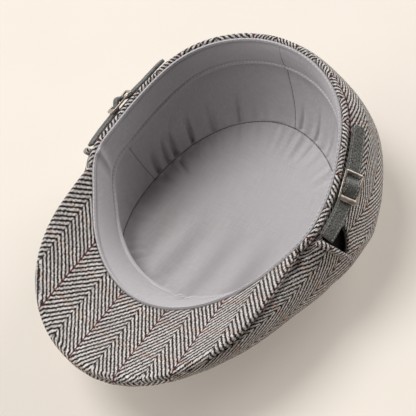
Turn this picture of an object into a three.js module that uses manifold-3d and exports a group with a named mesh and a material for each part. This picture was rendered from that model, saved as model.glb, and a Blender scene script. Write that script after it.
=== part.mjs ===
// A tweed flat cap lying upside down on its crown: millimetres, +Z up.
// The shape is worked out in the cap's own frame: X to the wearer's right-hand strap, -Y to the
// front of the peak, Z out of the mouth, origin at the middle of the mouth. settle() then tips the
// cap forward onto its crown, so that the surface it lies on is Z = 0.
import * as THREE from 'three';
import * as BufferGeometryUtils from 'three/addons/utils/BufferGeometryUtils.js';
import Module from 'manifold-3d';

const wasm = await Module();
wasm.setup();

// ---------------------------------------------------------------- driving sizes

const MOUTH = { halfLength: 100, halfWidth: 83.5, backFullness: 0.07 };
// Where the peak ends the mouth swells and lifts, and just behind it is drawn in.
const TEMPLE = { angle: 78, spread: 11, swell: 3, lift: 4.5, liftSpread: 13 };
const BEHIND_TEMPLE = { angle: 113, spread: 17, drawIn: 2.6 };
const REST = { pitch: 15, mouthHeight: 76 };
// The cloth that the cap lies on is flat in the middle, and the cap stands on the ends of three
// low folds: one at the front and one to each side, at this angle.
const FOLDS = { sideAngle: 90, rise: 1.2, flatRadius: 24, flatRise: 0.12, endBefore: 1.8 };
const GAP = 0.3;
const WALL = { tweed: 2, band: 1.3, lining: 1 };

const PEAK = {
  endAngle: 75,
  lastSection: 73.6,
  blend: 9,
  reach: 59,
  roundness: 1.92,
  slope: 22,
  slopeGain: 22,
  forwardLean: 0.18,
  thickness: 4,
  edgeRound: 1.6,
};

// The crown's fullest line, by angle from the front: how far it bulges past its sewn edge, how
// deep it lies below it, and how square the crown is from there to the top.
const CROWN = [
  { angle: 0, bulge: 2, drop: 9, squareness: 1.5 },
  { angle: 30, bulge: 1.5, drop: 12, squareness: 1.5 },
  { angle: 55, bulge: 8, drop: 22, squareness: 1.7 },
  { angle: 75, bulge: 18, drop: 36, squareness: 2.1 },
  { angle: 100, bulge: 21, drop: 42, squareness: 2.5 },
  { angle: 130, bulge: 17, drop: 42, squareness: 2.6 },
  { angle: 155, bulge: 11, drop: 40, squareness: 2.7 },
  { angle: 180, bulge: 12, drop: 41, squareness: 2.8 },
];
const CROWN_TOP = { y: 6, depth: 83 };
// The crown starts this far out from the mouth's edge and below it, or this far under the peak.
const CROWN_START = { out: 4, down: 3.2, underPeak: 2.4 };
// The way down to the fullest line is part plain slope and part quarter round.
const CROWN_SHELF = { slope: 0.35, roundness: 0.9 };

const HEM = { startAngle: 74, out: 2.25, down: 1.3, halfWidth: 2.1, halfHeight: 2.4 };

const BAND = { height: 25, insetSides: 3.4, insetFront: 17, insetBack: 5, curl: 1.15 };
// Half thickness down the sweatband: rolled top edge, stitched hem, plain cloth, corded edge.
const BAND_PROFILE = [
  { depth: 0, half: 0.4 },
  { depth: 0.05, half: 0.85 },
  { depth: 0.15, half: 0.65 },
  { depth: 0.86, half: 0.65 },
  { depth: 0.92, half: 1 },
  { depth: 1, half: 0.5 },
];
const BAND_PUCKER = { angle: 12, spread: 5, depth: 1.6 };

// The lining's top panel is an oval that lies over the pressed crown; its seam stands this high.
const LINING_OVAL = { halfWidth: 74, halfLength: 85, middleY: 2, lowest: 4.2, sag: 2, inset: 0.016 };
const LINING_SEAM = [
  { angle: 0, height: 24 },
  { angle: 40, height: 21 },
  { angle: 70, height: 13 },
  { angle: 100, height: 10.5 },
  { angle: 150, height: 21 },
  { angle: 180, height: 24.5 },
];
const LINING_TUCK = 0.55;
const LINING_BILLOW = 7;
const GATHERS = { count: 22, depth: 1.3 };

// Each strap runs back along the wall beside the hem, from the vent to its free rear end.
const STRAP = {
  from: 82,
  to: 126.5,
  width: 10.4,
  thickness: 2,
  edge: 0.6,
  corner: 2.4,
  place: 0.165,
  lift: 1.38,
  overBar: 6.23,
  overBarSpread: 2.4,
  archReach: 7,
  cornerLength: 1.4,
  freeFrom: 114,
  freeLift: 1.4,
};
const BUCKLE = {
  angle: 101.8,
  length: 19,
  width: 13.8,
  thickness: 1.5,
  corner: 1.6,
  bevel: 0.35,
  lift: 3.78,
  rail: 1.3,
  frontBar: 2.5,
  middleBar: 1.6,
  rearBar: 1.6,
};

// The rolled front edge of the side vent, and the vent's outline, as angle and place on the wall.
const ROLL = {
  from: { angle: 79.3, place: 0.06 },
  to: { angle: 81.9, place: 0.8 },
  radius: 2.3,
  flatness: 0.8,
  taper: 0.45,
};
const VENT = [
  { angle: 81.1, place: 0.13 },
  { angle: 81.3, place: 0.45 },
  { angle: 82.6, place: 0.73 },
  { angle: 84.9, place: 0.62 },
  { angle: 88.2, place: 0.42 },
  { angle: 90.6, place: 0.13 },
];
const VENT_CUT = { above: 2.5, below: 4.5 };
const BINDING = { radius: 0.75, depth: 1, pull: 0.16, towards: { angle: 83, place: 0.36 } };
const GUSSET = { fromAngle: 77.5, toAngle: 94, fromPlace: 0.04, toPlace: 0.86, clear: 0.9, thickness: 1 };

const COLOURS = {
  tweed: '#8a8078',
  lining: '#b9b4b3',
  band: '#a9a5a5',
  felt: '#5b5d5b',
  metal: '#b7ada0',
  dark: '#2a2a2b',
};

// ---------------------------------------------------------------- small tools

const UP = new THREE.Vector3(0, 0, 1);
const radians = THREE.MathUtils.degToRad;
const span = (from, to, steps) =>
  Array.from({ length: steps + 1 }, (_, i) => from + ((to - from) * i) / steps);
const hump = (value, middle, spread) => Math.exp(-(((value - middle) / spread) ** 2));
const foldAngle = (degrees) => Math.abs(((((degrees + 180) % 360) + 360) % 360) - 180);

// A smooth curve through one column of a table whose rows are sorted by angle; it is level at
// both ends.
function readTable(table, column, angle) {
  const last = table.length - 1;
  const above = table.findIndex((row, i) => i > 0 && row.angle >= angle);
  const i = (above < 0 ? last : above) - 1;
  const slopeAt = (k) => {
    if (k === 0 || k === last) return 0;
    return (table[k + 1][column] - table[k - 1][column]) / (table[k + 1].angle - table[k - 1].angle);
  };
  const width = table[i + 1].angle - table[i].angle;
  const t = (angle - table[i].angle) / width;
  return (
    table[i][column] * (2 * t ** 3 - 3 * t ** 2 + 1) +
    slopeAt(i) * width * (t ** 3 - 2 * t ** 2 + t) +
    table[i + 1][column] * (3 * t ** 2 - 2 * t ** 3) +
    slopeAt(i + 1) * width * (t ** 3 - t ** 2)
  );
}

// From the cap's own frame to the surface it lies on; cloth lower than `height` is pressed flat.
function settle(point, height = 0) {
  const placed = point.clone().applyAxisAngle(new THREE.Vector3(1, 0, 0), radians(REST.pitch));
  placed.z = Math.max(placed.z + REST.mouthHeight, height);
  return placed;
}

function unsettle(point) {
  const lowered = point.clone().setZ(point.z - REST.mouthHeight);
  return lowered.applyAxisAngle(new THREE.Vector3(1, 0, 0), -radians(REST.pitch));
}

// One closed body from a row of like loops of points: its ends are capped unless it is a ring.
function sweepLoops(loops, isRing) {
  const count = loops[0].length;
  const positions = loops.flat().flatMap((p) => [p.x, p.y, p.z]);
  const index = [];
  const steps = isRing ? loops.length : loops.length - 1;
  for (let i = 0; i < steps; i += 1) {
    const next = (i + 1) % loops.length;
    for (let j = 0; j < count; j += 1) {
      const side = (j + 1) % count;
      const [a, b, c, d] = [i * count + j, next * count + j, next * count + side, i * count + side];
      index.push(a, b, c, a, c, d);
    }
  }
  if (!isRing) {
    [0, loops.length - 1].forEach((end) => {
      const middle = loops[end].reduce((sum, p) => sum.add(p), new THREE.Vector3());
      middle.divideScalar(count);
      const hub = positions.length / 3;
      positions.push(middle.x, middle.y, middle.z);
      for (let j = 0; j < count; j += 1) {
        const [a, b] = [end * count + j, end * count + ((j + 1) % count)];
        index.push(...(end === 0 ? [hub, a, b] : [hub, b, a]));
      }
    });
  }
  return closeBody(positions, index);
}

// Joins shared corners, drops triangles that shrank to a line, and turns the faces outward.
function closeBody(positions, index) {
  const loose = new THREE.BufferGeometry();
  loose.setAttribute('position', new THREE.Float32BufferAttribute(positions, 3));
  loose.setIndex(index);
  const body = BufferGeometryUtils.mergeVertices(loose, 1e-3);
  const old = body.index.array;
  const kept = [];
  for (let i = 0; i < old.length; i += 3) {
    const [a, b, c] = [old[i], old[i + 1], old[i + 2]];
    if (a !== b && b !== c && c !== a) kept.push(a, b, c);
  }
  const at = (i) => new THREE.Vector3().fromBufferAttribute(body.attributes.position, i);
  let volume = 0;
  for (let i = 0; i < kept.length; i += 3) {
    volume += at(kept[i]).dot(at(kept[i + 1]).cross(at(kept[i + 2])));
  }
  body.setIndex(volume > 0 ? kept : kept.reverse());
  body.computeVertexNormals();
  return body;
}

function toManifold(geometry) {
  return new wasm.Manifold(
    new wasm.Mesh({
      numProp: 3,
      vertProperties: geometry.attributes.position.array,
      triVerts: new Uint32Array(geometry.index.array),
    }),
  );
}

function subtract(body, tools) {
  const cut = tools.reduce((rest, tool) => rest.subtract(toManifold(tool)), toManifold(body));
  const mesh = cut.getMesh();
  return closeBody(Array.from(mesh.vertProperties), Array.from(mesh.triVerts));
}

// An ellipse of points round `middle`, in the plane of two directions.
function ellipse(middle, across, acrossHalf, up, upHalf, sides) {
  return span(0, 2 * Math.PI, sides).slice(0, sides).map((turn) =>
    middle
      .clone()
      .addScaledVector(across, acrossHalf * Math.cos(turn))
      .addScaledVector(up, upHalf * Math.sin(turn)),
  );
}

// ---------------------------------------------------------------- the cap's lines and surfaces

// The edge of the mouth; angle 0 is the front, 90 the side of the +X strap, 180 the back.
function mouth(degrees) {
  const turn = radians(degrees);
  const away = foldAngle(degrees);
  const swell =
    TEMPLE.swell * hump(away, TEMPLE.angle, TEMPLE.spread) -
    BEHIND_TEMPLE.drawIn * hump(away, BEHIND_TEMPLE.angle, BEHIND_TEMPLE.spread);
  const facing = new THREE.Vector3(
    MOUTH.halfLength * Math.sin(turn),
    -MOUTH.halfWidth * Math.cos(turn),
    0,
  ).normalize();
  return new THREE.Vector3(
    MOUTH.halfWidth * Math.sin(turn) * (1 - MOUTH.backFullness * Math.cos(turn)),
    -MOUTH.halfLength * Math.cos(turn),
    TEMPLE.lift * hump(away, TEMPLE.angle, TEMPLE.liftSpread) - 1,
  ).addScaledVector(facing, swell);
}

function outward(degrees) {
  const step = 0.5;
  const along = mouth(degrees + step).sub(mouth(degrees - step));
  return new THREE.Vector3(along.y, -along.x, 0).normalize();
}

// The peak's own directions at an angle: away from the mouth, and square to its sheet.
function peakFrame(degrees) {
  const part = Math.min(foldAngle(degrees) / PEAK.endAngle, 1);
  const slope = radians(PEAK.slope + PEAK.slopeGain * part ** 2);
  const level = outward(degrees)
    .multiplyScalar(1 - PEAK.forwardLean)
    .add(new THREE.Vector3(0, -PEAK.forwardLean, 0))
    .normalize();
  const away = level.clone().multiplyScalar(Math.cos(slope)).addScaledVector(UP, Math.sin(slope));
  const square = UP.clone().multiplyScalar(Math.cos(slope)).addScaledVector(level, -Math.sin(slope));
  return { away, square, reach: PEAK.reach * (1 - part ** PEAK.roundness) };
}

function peakPoint(degrees, distance, height) {
  const frame = peakFrame(degrees);
  return mouth(degrees).addScaledVector(frame.away, distance).addScaledVector(frame.square, height);
}

// Where the crown is sewn: under the peak's outer edge in front, under the hem elsewhere.
function crownEdge(degrees) {
  if (foldAngle(degrees) >= PEAK.endAngle) {
    return mouth(degrees);
  }
  return peakPoint(degrees, peakFrame(degrees).reach, 0);
}

function crownStart(degrees) {
  const belowPeak = PEAK.thickness + GAP;
  const underHem = mouth(degrees)
    .addScaledVector(outward(degrees), CROWN_START.out)
    .addScaledVector(UP, -CROWN_START.down);
  const fromAngle = PEAK.endAngle - PEAK.blend;
  const blend = THREE.MathUtils.smoothstep(foldAngle(degrees), fromAngle, PEAK.endAngle);
  const reach = peakFrame(degrees).reach - CROWN_START.underPeak;
  return peakPoint(degrees, reach, -belowPeak).lerp(underHem, blend);
}

// The crown's outer face: place 0 at the sewn edge, 1 at the fullest line, 2 at the top.
function crownFace(degrees, place) {
  const angle = foldAngle(degrees);
  const edge = crownEdge(degrees);
  const full = edge
    .clone()
    .addScaledVector(outward(degrees), readTable(CROWN, 'bulge', angle))
    .addScaledVector(UP, -readTable(CROWN, 'drop', angle));
  if (place <= 1) {
    const turn = (place * Math.PI) / 2;
    const start = crownStart(degrees);
    const out = Math.sin(turn) ** CROWN_SHELF.roundness;
    const down = THREE.MathUtils.lerp(1 - Math.cos(turn), place, CROWN_SHELF.slope);
    return new THREE.Vector3(
      THREE.MathUtils.lerp(start.x, full.x, out),
      THREE.MathUtils.lerp(start.y, full.y, out),
      THREE.MathUtils.lerp(start.z, full.z, down),
    );
  }
  const turn = ((2 - place) * Math.PI) / 2;
  const power = 2 / readTable(CROWN, 'squareness', angle);
  const out = Math.sin(turn) ** power;
  const down = Math.cos(turn) ** power;
  return new THREE.Vector3(
    full.x * out,
    THREE.MathUtils.lerp(CROWN_TOP.y, full.y, out),
    THREE.MathUtils.lerp(full.z, -CROWN_TOP.depth, down),
  );
}

function crownFacing(degrees, place) {
  if (place > 1.98) {
    return UP.clone().negate();
  }
  const inner = Math.max(place - 0.01, 0);
  const down = crownFace(degrees, place + 0.01).sub(crownFace(degrees, inner));
  const along = crownFace(degrees + 0.5, place).sub(crownFace(degrees - 0.5, place));
  return down.cross(along).normalize();
}

function onCrown(degrees, place, height) {
  return crownFace(degrees, place).addScaledVector(crownFacing(degrees, place), height);
}

// How far the crown's pressed cloth stands off the surface.
function betweenFolds(degrees, place, spot) {
  if (Math.hypot(spot.x, spot.y) < FOLDS.flatRadius) {
    return FOLDS.flatRise;
  }
  if (place === 2) {
    return FOLDS.rise;
  }
  const angle = foldAngle(degrees);
  const ahead = angle / FOLDS.sideAngle;
  const behind = (angle - FOLDS.sideAngle) / (360 - 2 * FOLDS.sideAngle);
  const rise = FOLDS.rise * Math.sqrt(Math.sin(Math.PI * (ahead <= 1 ? ahead : behind)));
  return Math.max(rise, place < FOLDS.endBefore ? 0 : FOLDS.flatRise);
}

// A point of the crown's cloth where the cap lies, `depth` inside its outer face.
function settledCrown(degrees, place, depth) {
  const spot = settle(onCrown(degrees, place, -depth), depth);
  return settle(unsettle(spot), depth + betweenFolds(degrees, place, spot));
}

function bandInset(degrees) {
  const lengthways = Math.cos(radians(degrees));
  const end = lengthways > 0 ? BAND.insetFront : BAND.insetBack;
  const pucker = BAND_PUCKER.depth * hump(degrees, BAND_PUCKER.angle, BAND_PUCKER.spread);
  return BAND.insetSides * (1 - lengthways ** 2) + end * lengthways ** 2 - pucker;
}

// A point of the sweatband: depth 0 at the mouth to 1 at its sewn lower edge.
function bandPoint(degrees, depth, height) {
  const inset = bandInset(degrees);
  const out = outward(degrees);
  const square = out
    .clone()
    .multiplyScalar(-BAND.height)
    .addScaledVector(UP, inset)
    .normalize();
  return mouth(degrees)
    .addScaledVector(out, -WALL.band / 2 - GAP - inset * depth ** BAND.curl)
    .addScaledVector(UP, -BAND.height * depth)
    .addScaledVector(square, height);
}

// The seam where the lining's side meets its top, in the frame of the surface the cap lies on.
function liningSeam(degrees) {
  const turn = radians(degrees);
  const y = LINING_OVAL.middleY - LINING_OVAL.halfLength * Math.cos(turn);
  const height = readTable(LINING_SEAM, 'height', foldAngle(degrees));
  return new THREE.Vector3(LINING_OVAL.halfWidth * Math.sin(turn), y, height);
}

// ---------------------------------------------------------------- the pieces

const RIGHT = 1;
const LEFT = -1;

function makeCrown() {
  const angles = span(0, 360, 64).slice(0, 64);
  const places = [0, 0.15, 0.35, 0.55, 0.78, 1, 1.16, 1.32, 1.46, 1.6, 1.74, 1.88, 2];
  const loops = angles.map((angle) => [
    ...places.map((place) => settledCrown(angle, place, 0)),
    ...places
      .slice()
      .reverse()
      .map((place) => settledCrown(angle, place, WALL.tweed)),
  ]);
  return subtract(sweepLoops(loops, true), [ventCutter(RIGHT), ventCutter(LEFT)]);
}

function ventCutter(side) {
  const outline = (height) =>
    VENT.map((corner) => settle(onCrown(side * corner.angle, corner.place, height)));
  return sweepLoops([outline(VENT_CUT.above), outline(-VENT_CUT.below)], false);
}

function makePeak() {
  const angles = span(-PEAK.lastSection, PEAK.lastSection, 34);
  const loops = angles.map((angle) => {
    const { reach } = peakFrame(angle);
    const flat = reach - Math.min(PEAK.edgeRound, reach / 3);
    const low = -PEAK.thickness;
    const section = [
      [GAP, 0], [flat * 0.25, 0], [flat * 0.5, 0], [flat * 0.75, 0], [flat, 0],
      [reach, low * 0.3], [reach, low * 0.7],
      [flat, low], [flat * 0.66, low], [flat * 0.33, low], [GAP, low],
    ];
    return section.map(([distance, height]) => settle(peakPoint(angle, distance, height)));
  });
  return sweepLoops(loops, false);
}

function makeHem() {
  const loops = span(HEM.startAngle, 360 - HEM.startAngle, 54).map((angle) => {
    const out = outward(angle);
    const middle = mouth(angle).addScaledVector(out, HEM.out).addScaledVector(UP, -HEM.down);
    return ellipse(middle, out, HEM.halfWidth, UP, HEM.halfHeight, 8).map((p) => settle(p));
  });
  return sweepLoops(loops, false);
}

function makeSweatband() {
  const loops = span(0, 360, 60).slice(0, 60).map((angle) => {
    const inner = BAND_PROFILE.map((row) => bandPoint(angle, row.depth, row.half));
    const outer = [...BAND_PROFILE]
      .reverse()
      .map((row) => bandPoint(angle, row.depth, -Math.min(row.half, WALL.band / 2)));
    return [...inner, ...outer].map((p) => settle(p));
  });
  return sweepLoops(loops, true);
}

// The lining's side: tucked behind the sweatband, then out and down to the gathered seam.
function makeLiningSide() {
  const places = [0, 0.25, 0.5, 0.74, 0.9, 1];
  const loops = span(0, 360, 88).slice(0, 88).map((angle) => {
    const half = WALL.lining / 2;
    const out = outward(angle);
    const top = bandPoint(angle, LINING_TUCK, -WALL.band / 2 - GAP - half);
    const edge = bandPoint(angle, 1, -WALL.band / 2 - GAP - half);
    const seam = unsettle(liningSeam(angle));
    const bend = edge.clone().lerp(seam, 0.5).addScaledVector(out, LINING_BILLOW);
    const curve = new THREE.QuadraticBezierCurve3(edge, bend, seam);
    const middleAt = (place) =>
      curve.getPoint(place).addScaledVector(
        out,
        GATHERS.depth * place ** 2 * Math.sin(radians(angle * GATHERS.count)) * (1 - place ** 12),
      );
    const line = [top, ...places.map(middleAt)];
    const square = line.map((_, i) => {
      const along = line[Math.min(i + 1, line.length - 1)].clone().sub(line[Math.max(i - 1, 0)]);
      const level = along.dot(out);
      return out.clone().multiplyScalar(-along.z).addScaledVector(UP, level).normalize();
    });
    const face = (sign) => line.map((p, i) => p.clone().addScaledVector(square[i], sign * half));
    return [...face(-1), ...face(1).reverse()].map((p) => settle(p));
  });
  return sweepLoops(loops, true);
}

function makeLiningTop() {
  const places = [0, 0.06, 0.16, 0.32, 0.6, 1];
  const loops = span(0, 360, 44).slice(0, 44).map((angle) => {
    const seam = liningSeam(angle);
    const middle = new THREE.Vector3(0, LINING_OVAL.middleY, 0);
    const low = LINING_OVAL.lowest;
    const surface = (height) =>
      places.map((place) => {
        const point = seam.clone().lerp(middle, THREE.MathUtils.lerp(LINING_OVAL.inset, 1, place));
        point.z = low + (seam.z - low) * (1 - place) ** LINING_OVAL.sag + height;
        return point;
      });
    return [...surface(WALL.lining / 2), ...surface(-WALL.lining / 2).reverse()];
  });
  return sweepLoops(loops, true);
}

// How high the strap's middle runs above the wall: under the buckle's end bars, over its middle
// bar, and a little free at its rear end.
function strapLift(angle) {
  const overBar = (STRAP.overBar - STRAP.lift) * hump(angle, BUCKLE.angle, STRAP.overBarSpread);
  const free = STRAP.freeLift * THREE.MathUtils.smoothstep(angle, STRAP.freeFrom, STRAP.to);
  return STRAP.lift + overBar + free;
}

function strapFrame(angle, side) {
  const facing = crownFacing(side * angle, STRAP.place);
  const ahead = crownFace(side * (angle + 1), STRAP.place);
  const along = ahead.sub(crownFace(side * (angle - 1), STRAP.place)).normalize();
  const across = facing.clone().cross(along).normalize();
  return { facing, along, across };
}

function makeStrap(side) {
  const [before, after] = [BUCKLE.angle - STRAP.archReach, BUCKLE.angle + STRAP.archReach];
  const angles = [
    ...span(STRAP.from, before, 6).slice(0, -1),
    ...span(before, after, 14),
    ...span(after, STRAP.to - STRAP.cornerLength, 4).slice(1),
    STRAP.to,
  ];
  const loops = angles.map((angle) => {
    const { facing, across } = strapFrame(angle, side);
    const middle = onCrown(side * angle, STRAP.place, strapLift(angle));
    const half = STRAP.width / 2 - STRAP.corner * hump(angle, STRAP.to, 1);
    const thick = STRAP.thickness / 2;
    const section = [
      [-half, 0], [-half + STRAP.edge, thick], [half - STRAP.edge, thick],
      [half, 0], [half - STRAP.edge, -thick], [-half + STRAP.edge, -thick],
    ];
    return section.map(([sideways, height]) =>
      settle(middle.clone().addScaledVector(across, sideways).addScaledVector(facing, height)),
    );
  });
  return sweepLoops(loops, false);
}

function roundedOutline(length, width, corner, height) {
  const quarter = span(0, Math.PI / 2, 3);
  return [[1, 1], [-1, 1], [-1, -1], [1, -1]].flatMap(([right, far], i) =>
    quarter.map((turn) =>
      new THREE.Vector3(
        right * (length / 2 - corner) + corner * Math.cos(turn + (i * Math.PI) / 2),
        far * (width / 2 - corner) + corner * Math.sin(turn + (i * Math.PI) / 2),
        height,
      ),
    ),
  );
}

// A three-bar slide: a flat frame with two windows, one each side of the middle bar.
function makeBuckle() {
  const { length, width, thickness, bevel, corner, rail, frontBar, middleBar, rearBar } = BUCKLE;
  const plate = [[1, -1], [0, -1], [0, 1], [1, 1]].map(([narrow, face]) =>
    roundedOutline(
      length - 2 * bevel * narrow,
      width - 2 * bevel * narrow,
      corner,
      face * (thickness / 2 - bevel * (1 - narrow)),
    ),
  );
  const opening = (length - frontBar - middleBar - rearBar) / 2;
  const firstWindow = -length / 2 + frontBar + opening / 2;
  const windows = [firstWindow, firstWindow + opening + middleBar].map((place) => {
    const box = new THREE.BoxGeometry(opening, width - 2 * rail, thickness * 2);
    box.translate(place, 0, 0);
    return closeBody(Array.from(box.attributes.position.array), Array.from(box.index.array));
  });
  return subtract(sweepLoops(plate, false), windows);
}

function placeBuckle(mesh, side) {
  const { facing, along, across } = strapFrame(BUCKLE.angle, side);
  const turn = new THREE.Matrix4().makeRotationX(radians(REST.pitch));
  const basis = new THREE.Matrix4().makeBasis(along, across, along.clone().cross(across));
  mesh.quaternion.setFromRotationMatrix(turn.multiply(basis));
  const middle = crownFace(side * BUCKLE.angle, STRAP.place);
  mesh.position.copy(settle(middle.addScaledVector(facing, BUCKLE.lift)));
}

// The vent's padded front edge, rolled over where the front of the crown is turned back.
function makeVentRoll(side) {
  const loops = span(0, 1, 12).map((t) => {
    const angle = THREE.MathUtils.lerp(ROLL.from.angle, ROLL.to.angle, t);
    const place = THREE.MathUtils.lerp(ROLL.from.place, ROLL.to.place, t);
    const radius = ROLL.radius * (1 - ROLL.taper * t ** 3);
    const height = radius * ROLL.flatness;
    const facing = crownFacing(side * angle, place);
    const along = crownFace(side * (angle + 0.5), place).sub(crownFace(side * (angle - 0.5), place));
    const middle = onCrown(side * angle, place, height + GAP);
    return ellipse(middle, along.normalize(), radius, facing, height, 8).map((p) => settle(p));
  });
  return sweepLoops(loops, false);
}

// The bound rear edge of the vent: a fine cord of tape just inside the cut.
function makeVentBinding(side) {
  const towards = new THREE.Vector2(BINDING.towards.angle, BINDING.towards.place);
  const rear = VENT.slice(2).map((corner) =>
    new THREE.Vector2(corner.angle, corner.place).lerp(towards, BINDING.pull),
  );
  const line = new THREE.SplineCurve(rear);
  const loops = span(0, 1, 10).map((t) => {
    const spot = line.getPoint(t);
    const middle = onCrown(side * spot.x, spot.y, -BINDING.depth);
    const next = line.getPoint(Math.min(t + 0.02, 1));
    const before = line.getPoint(Math.max(t - 0.02, 0));
    const along = crownFace(side * next.x, next.y).sub(crownFace(side * before.x, before.y));
    const facing = crownFacing(side * spot.x, spot.y);
    const across = facing.clone().cross(along).normalize();
    const ring = ellipse(middle, across, BINDING.radius, facing, BINDING.radius * 1.2, 6);
    return ring.map((p) => settle(p));
  });
  return sweepLoops(loops, false);
}

// The dark cloth that closes the vent from within.
function makeVentGusset(side) {
  const near = -WALL.tweed - GUSSET.clear;
  const loops = span(GUSSET.fromAngle, GUSSET.toAngle, 6).map((angle) => {
    const places = span(GUSSET.fromPlace, GUSSET.toPlace, 5);
    const face = (height) => places.map((place) => onCrown(side * angle, place, height));
    return [...face(near), ...face(near - GUSSET.thickness).reverse()].map((p) => settle(p));
  });
  return sweepLoops(loops, false);
}

// ---------------------------------------------------------------- the assembly

const cloth = (color) => new THREE.MeshStandardMaterial({ color, roughness: 0.9, metalness: 0 });
const metal = (color) => new THREE.MeshStandardMaterial({ color, roughness: 0.35, metalness: 1 });

const cap = new THREE.Group();

function add(name, geometry, material) {
  const mesh = new THREE.Mesh(geometry, material);
  mesh.name = name;
  cap.add(mesh);
  return mesh;
}

add('crown', makeCrown(), cloth(COLOURS.tweed));
add('peak', makePeak(), cloth(COLOURS.tweed));
add('hem', makeHem(), cloth(COLOURS.tweed));
add('sweatband', makeSweatband(), cloth(COLOURS.band));
add('lining_side', makeLiningSide(), cloth(COLOURS.lining));
add('lining_top', makeLiningTop(), cloth(COLOURS.lining));

const SIDES = { right: RIGHT, left: LEFT };
Object.entries(SIDES).forEach(([word, side]) => {
  add(`strap_${word}`, makeStrap(side), cloth(COLOURS.felt));
  placeBuckle(add(`buckle_${word}`, makeBuckle(), metal(COLOURS.metal)), side);
  add(`vent_roll_${word}`, makeVentRoll(side), cloth(COLOURS.tweed));
  add(`vent_binding_${word}`, makeVentBinding(side), cloth(COLOURS.dark));
  add(`vent_gusset_${word}`, makeVentGusset(side), cloth(COLOURS.dark));
});

export default cap;
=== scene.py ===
"""A tweed flat cap lying upside down on its crown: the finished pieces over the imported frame."""
import math

import bmesh
import bpy
import numpy as np
from mathutils import Matrix, Vector


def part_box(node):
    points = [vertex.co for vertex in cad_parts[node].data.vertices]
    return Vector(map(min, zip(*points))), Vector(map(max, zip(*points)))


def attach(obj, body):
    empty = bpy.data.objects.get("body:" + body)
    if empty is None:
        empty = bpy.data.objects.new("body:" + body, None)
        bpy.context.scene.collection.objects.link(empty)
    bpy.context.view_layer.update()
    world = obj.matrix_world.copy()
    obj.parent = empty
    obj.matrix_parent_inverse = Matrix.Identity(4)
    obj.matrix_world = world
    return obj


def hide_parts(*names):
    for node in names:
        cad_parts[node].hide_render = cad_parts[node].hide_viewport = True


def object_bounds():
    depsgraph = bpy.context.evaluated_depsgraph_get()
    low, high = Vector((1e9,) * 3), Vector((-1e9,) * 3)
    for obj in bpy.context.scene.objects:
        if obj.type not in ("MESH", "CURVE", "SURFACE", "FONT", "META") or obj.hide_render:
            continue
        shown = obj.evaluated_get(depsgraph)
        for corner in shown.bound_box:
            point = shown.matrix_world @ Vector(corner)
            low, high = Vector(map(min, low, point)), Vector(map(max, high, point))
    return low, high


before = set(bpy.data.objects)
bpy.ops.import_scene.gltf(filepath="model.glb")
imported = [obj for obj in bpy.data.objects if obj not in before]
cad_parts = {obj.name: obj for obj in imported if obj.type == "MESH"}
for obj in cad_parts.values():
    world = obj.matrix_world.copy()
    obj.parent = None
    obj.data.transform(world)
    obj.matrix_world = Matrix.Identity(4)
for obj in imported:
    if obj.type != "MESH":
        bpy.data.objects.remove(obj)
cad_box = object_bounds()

# ---------------------------------------------------------------- sizes, in millimetres

# One millimetre of the maker's pattern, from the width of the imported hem.
HEM_WIDTH = 177.6
MM = (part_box("hem")[1].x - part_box("hem")[0].x) / HEM_WIDTH
FLOOR = cad_box[0].z

MOUTH = {"half_length": 100, "half_width": 83.5, "back_fullness": 0.07, "down": 1}
TEMPLE = {"angle": 78, "spread": 11, "swell": 3, "lift": 4.5, "lift_spread": 13}
BEHIND_TEMPLE = {"angle": 113, "spread": 17, "draw_in": 2.6}
REST = {"pitch": 15, "mouth_height": 76}
# The cap stands on the ends of three low folds in its pressed cloth.
FOLDS = {"side_angle": 90, "rise": 1.2, "end_before": 1.8, "flat_rise": 0.12}
GAP = 0.3
WALL = {"tweed": 2, "band": 1.3, "lining": 1}

PEAK = {"end_angle": 75, "last_section": 73.6, "blend": 9, "reach": 59, "roundness": 1.92,
        "slope": 22, "slope_gain": 22, "forward_lean": 0.18, "thickness": 4}

# The crown's fullest line, by angle from the front.
CROWN = [
    {"angle": 0, "bulge": 2, "drop": 9, "squareness": 1.5},
    {"angle": 30, "bulge": 1.5, "drop": 12, "squareness": 1.5},
    {"angle": 55, "bulge": 8, "drop": 22, "squareness": 1.7},
    {"angle": 75, "bulge": 18, "drop": 36, "squareness": 2.1},
    {"angle": 100, "bulge": 21, "drop": 42, "squareness": 2.5},
    {"angle": 130, "bulge": 17, "drop": 42, "squareness": 2.6},
    {"angle": 155, "bulge": 11, "drop": 40, "squareness": 2.7},
    {"angle": 180, "bulge": 12, "drop": 41, "squareness": 2.8},
]
CROWN_TOP = {"y": 6, "depth": 83}
CROWN_START = {"out": 4, "down": 3.2, "under_peak": 2.4}
CROWN_SHELF = {"slope": 0.35, "roundness": 0.9}

HEM = {"start_angle": 74, "out": 2.25, "down": 1.3, "half_width": 2.1, "half_height": 2.4}
BAND = {"height": 25, "inset_sides": 3.4, "inset_front": 17, "inset_back": 5, "curl": 1.15}
BAND_PUCKER = {"angle": 12, "spread": 5, "depth": 1.6}

LINING_OVAL = {"half_width": 74, "half_length": 85, "middle_y": 2, "lowest": 4.2, "sag": 2}
LINING_SEAM = [
    {"angle": 0, "height": 24},
    {"angle": 40, "height": 21},
    {"angle": 70, "height": 13},
    {"angle": 100, "height": 10.5},
    {"angle": 150, "height": 21},
    {"angle": 180, "height": 24.5},
]
LINING_BILLOW = 7

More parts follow.
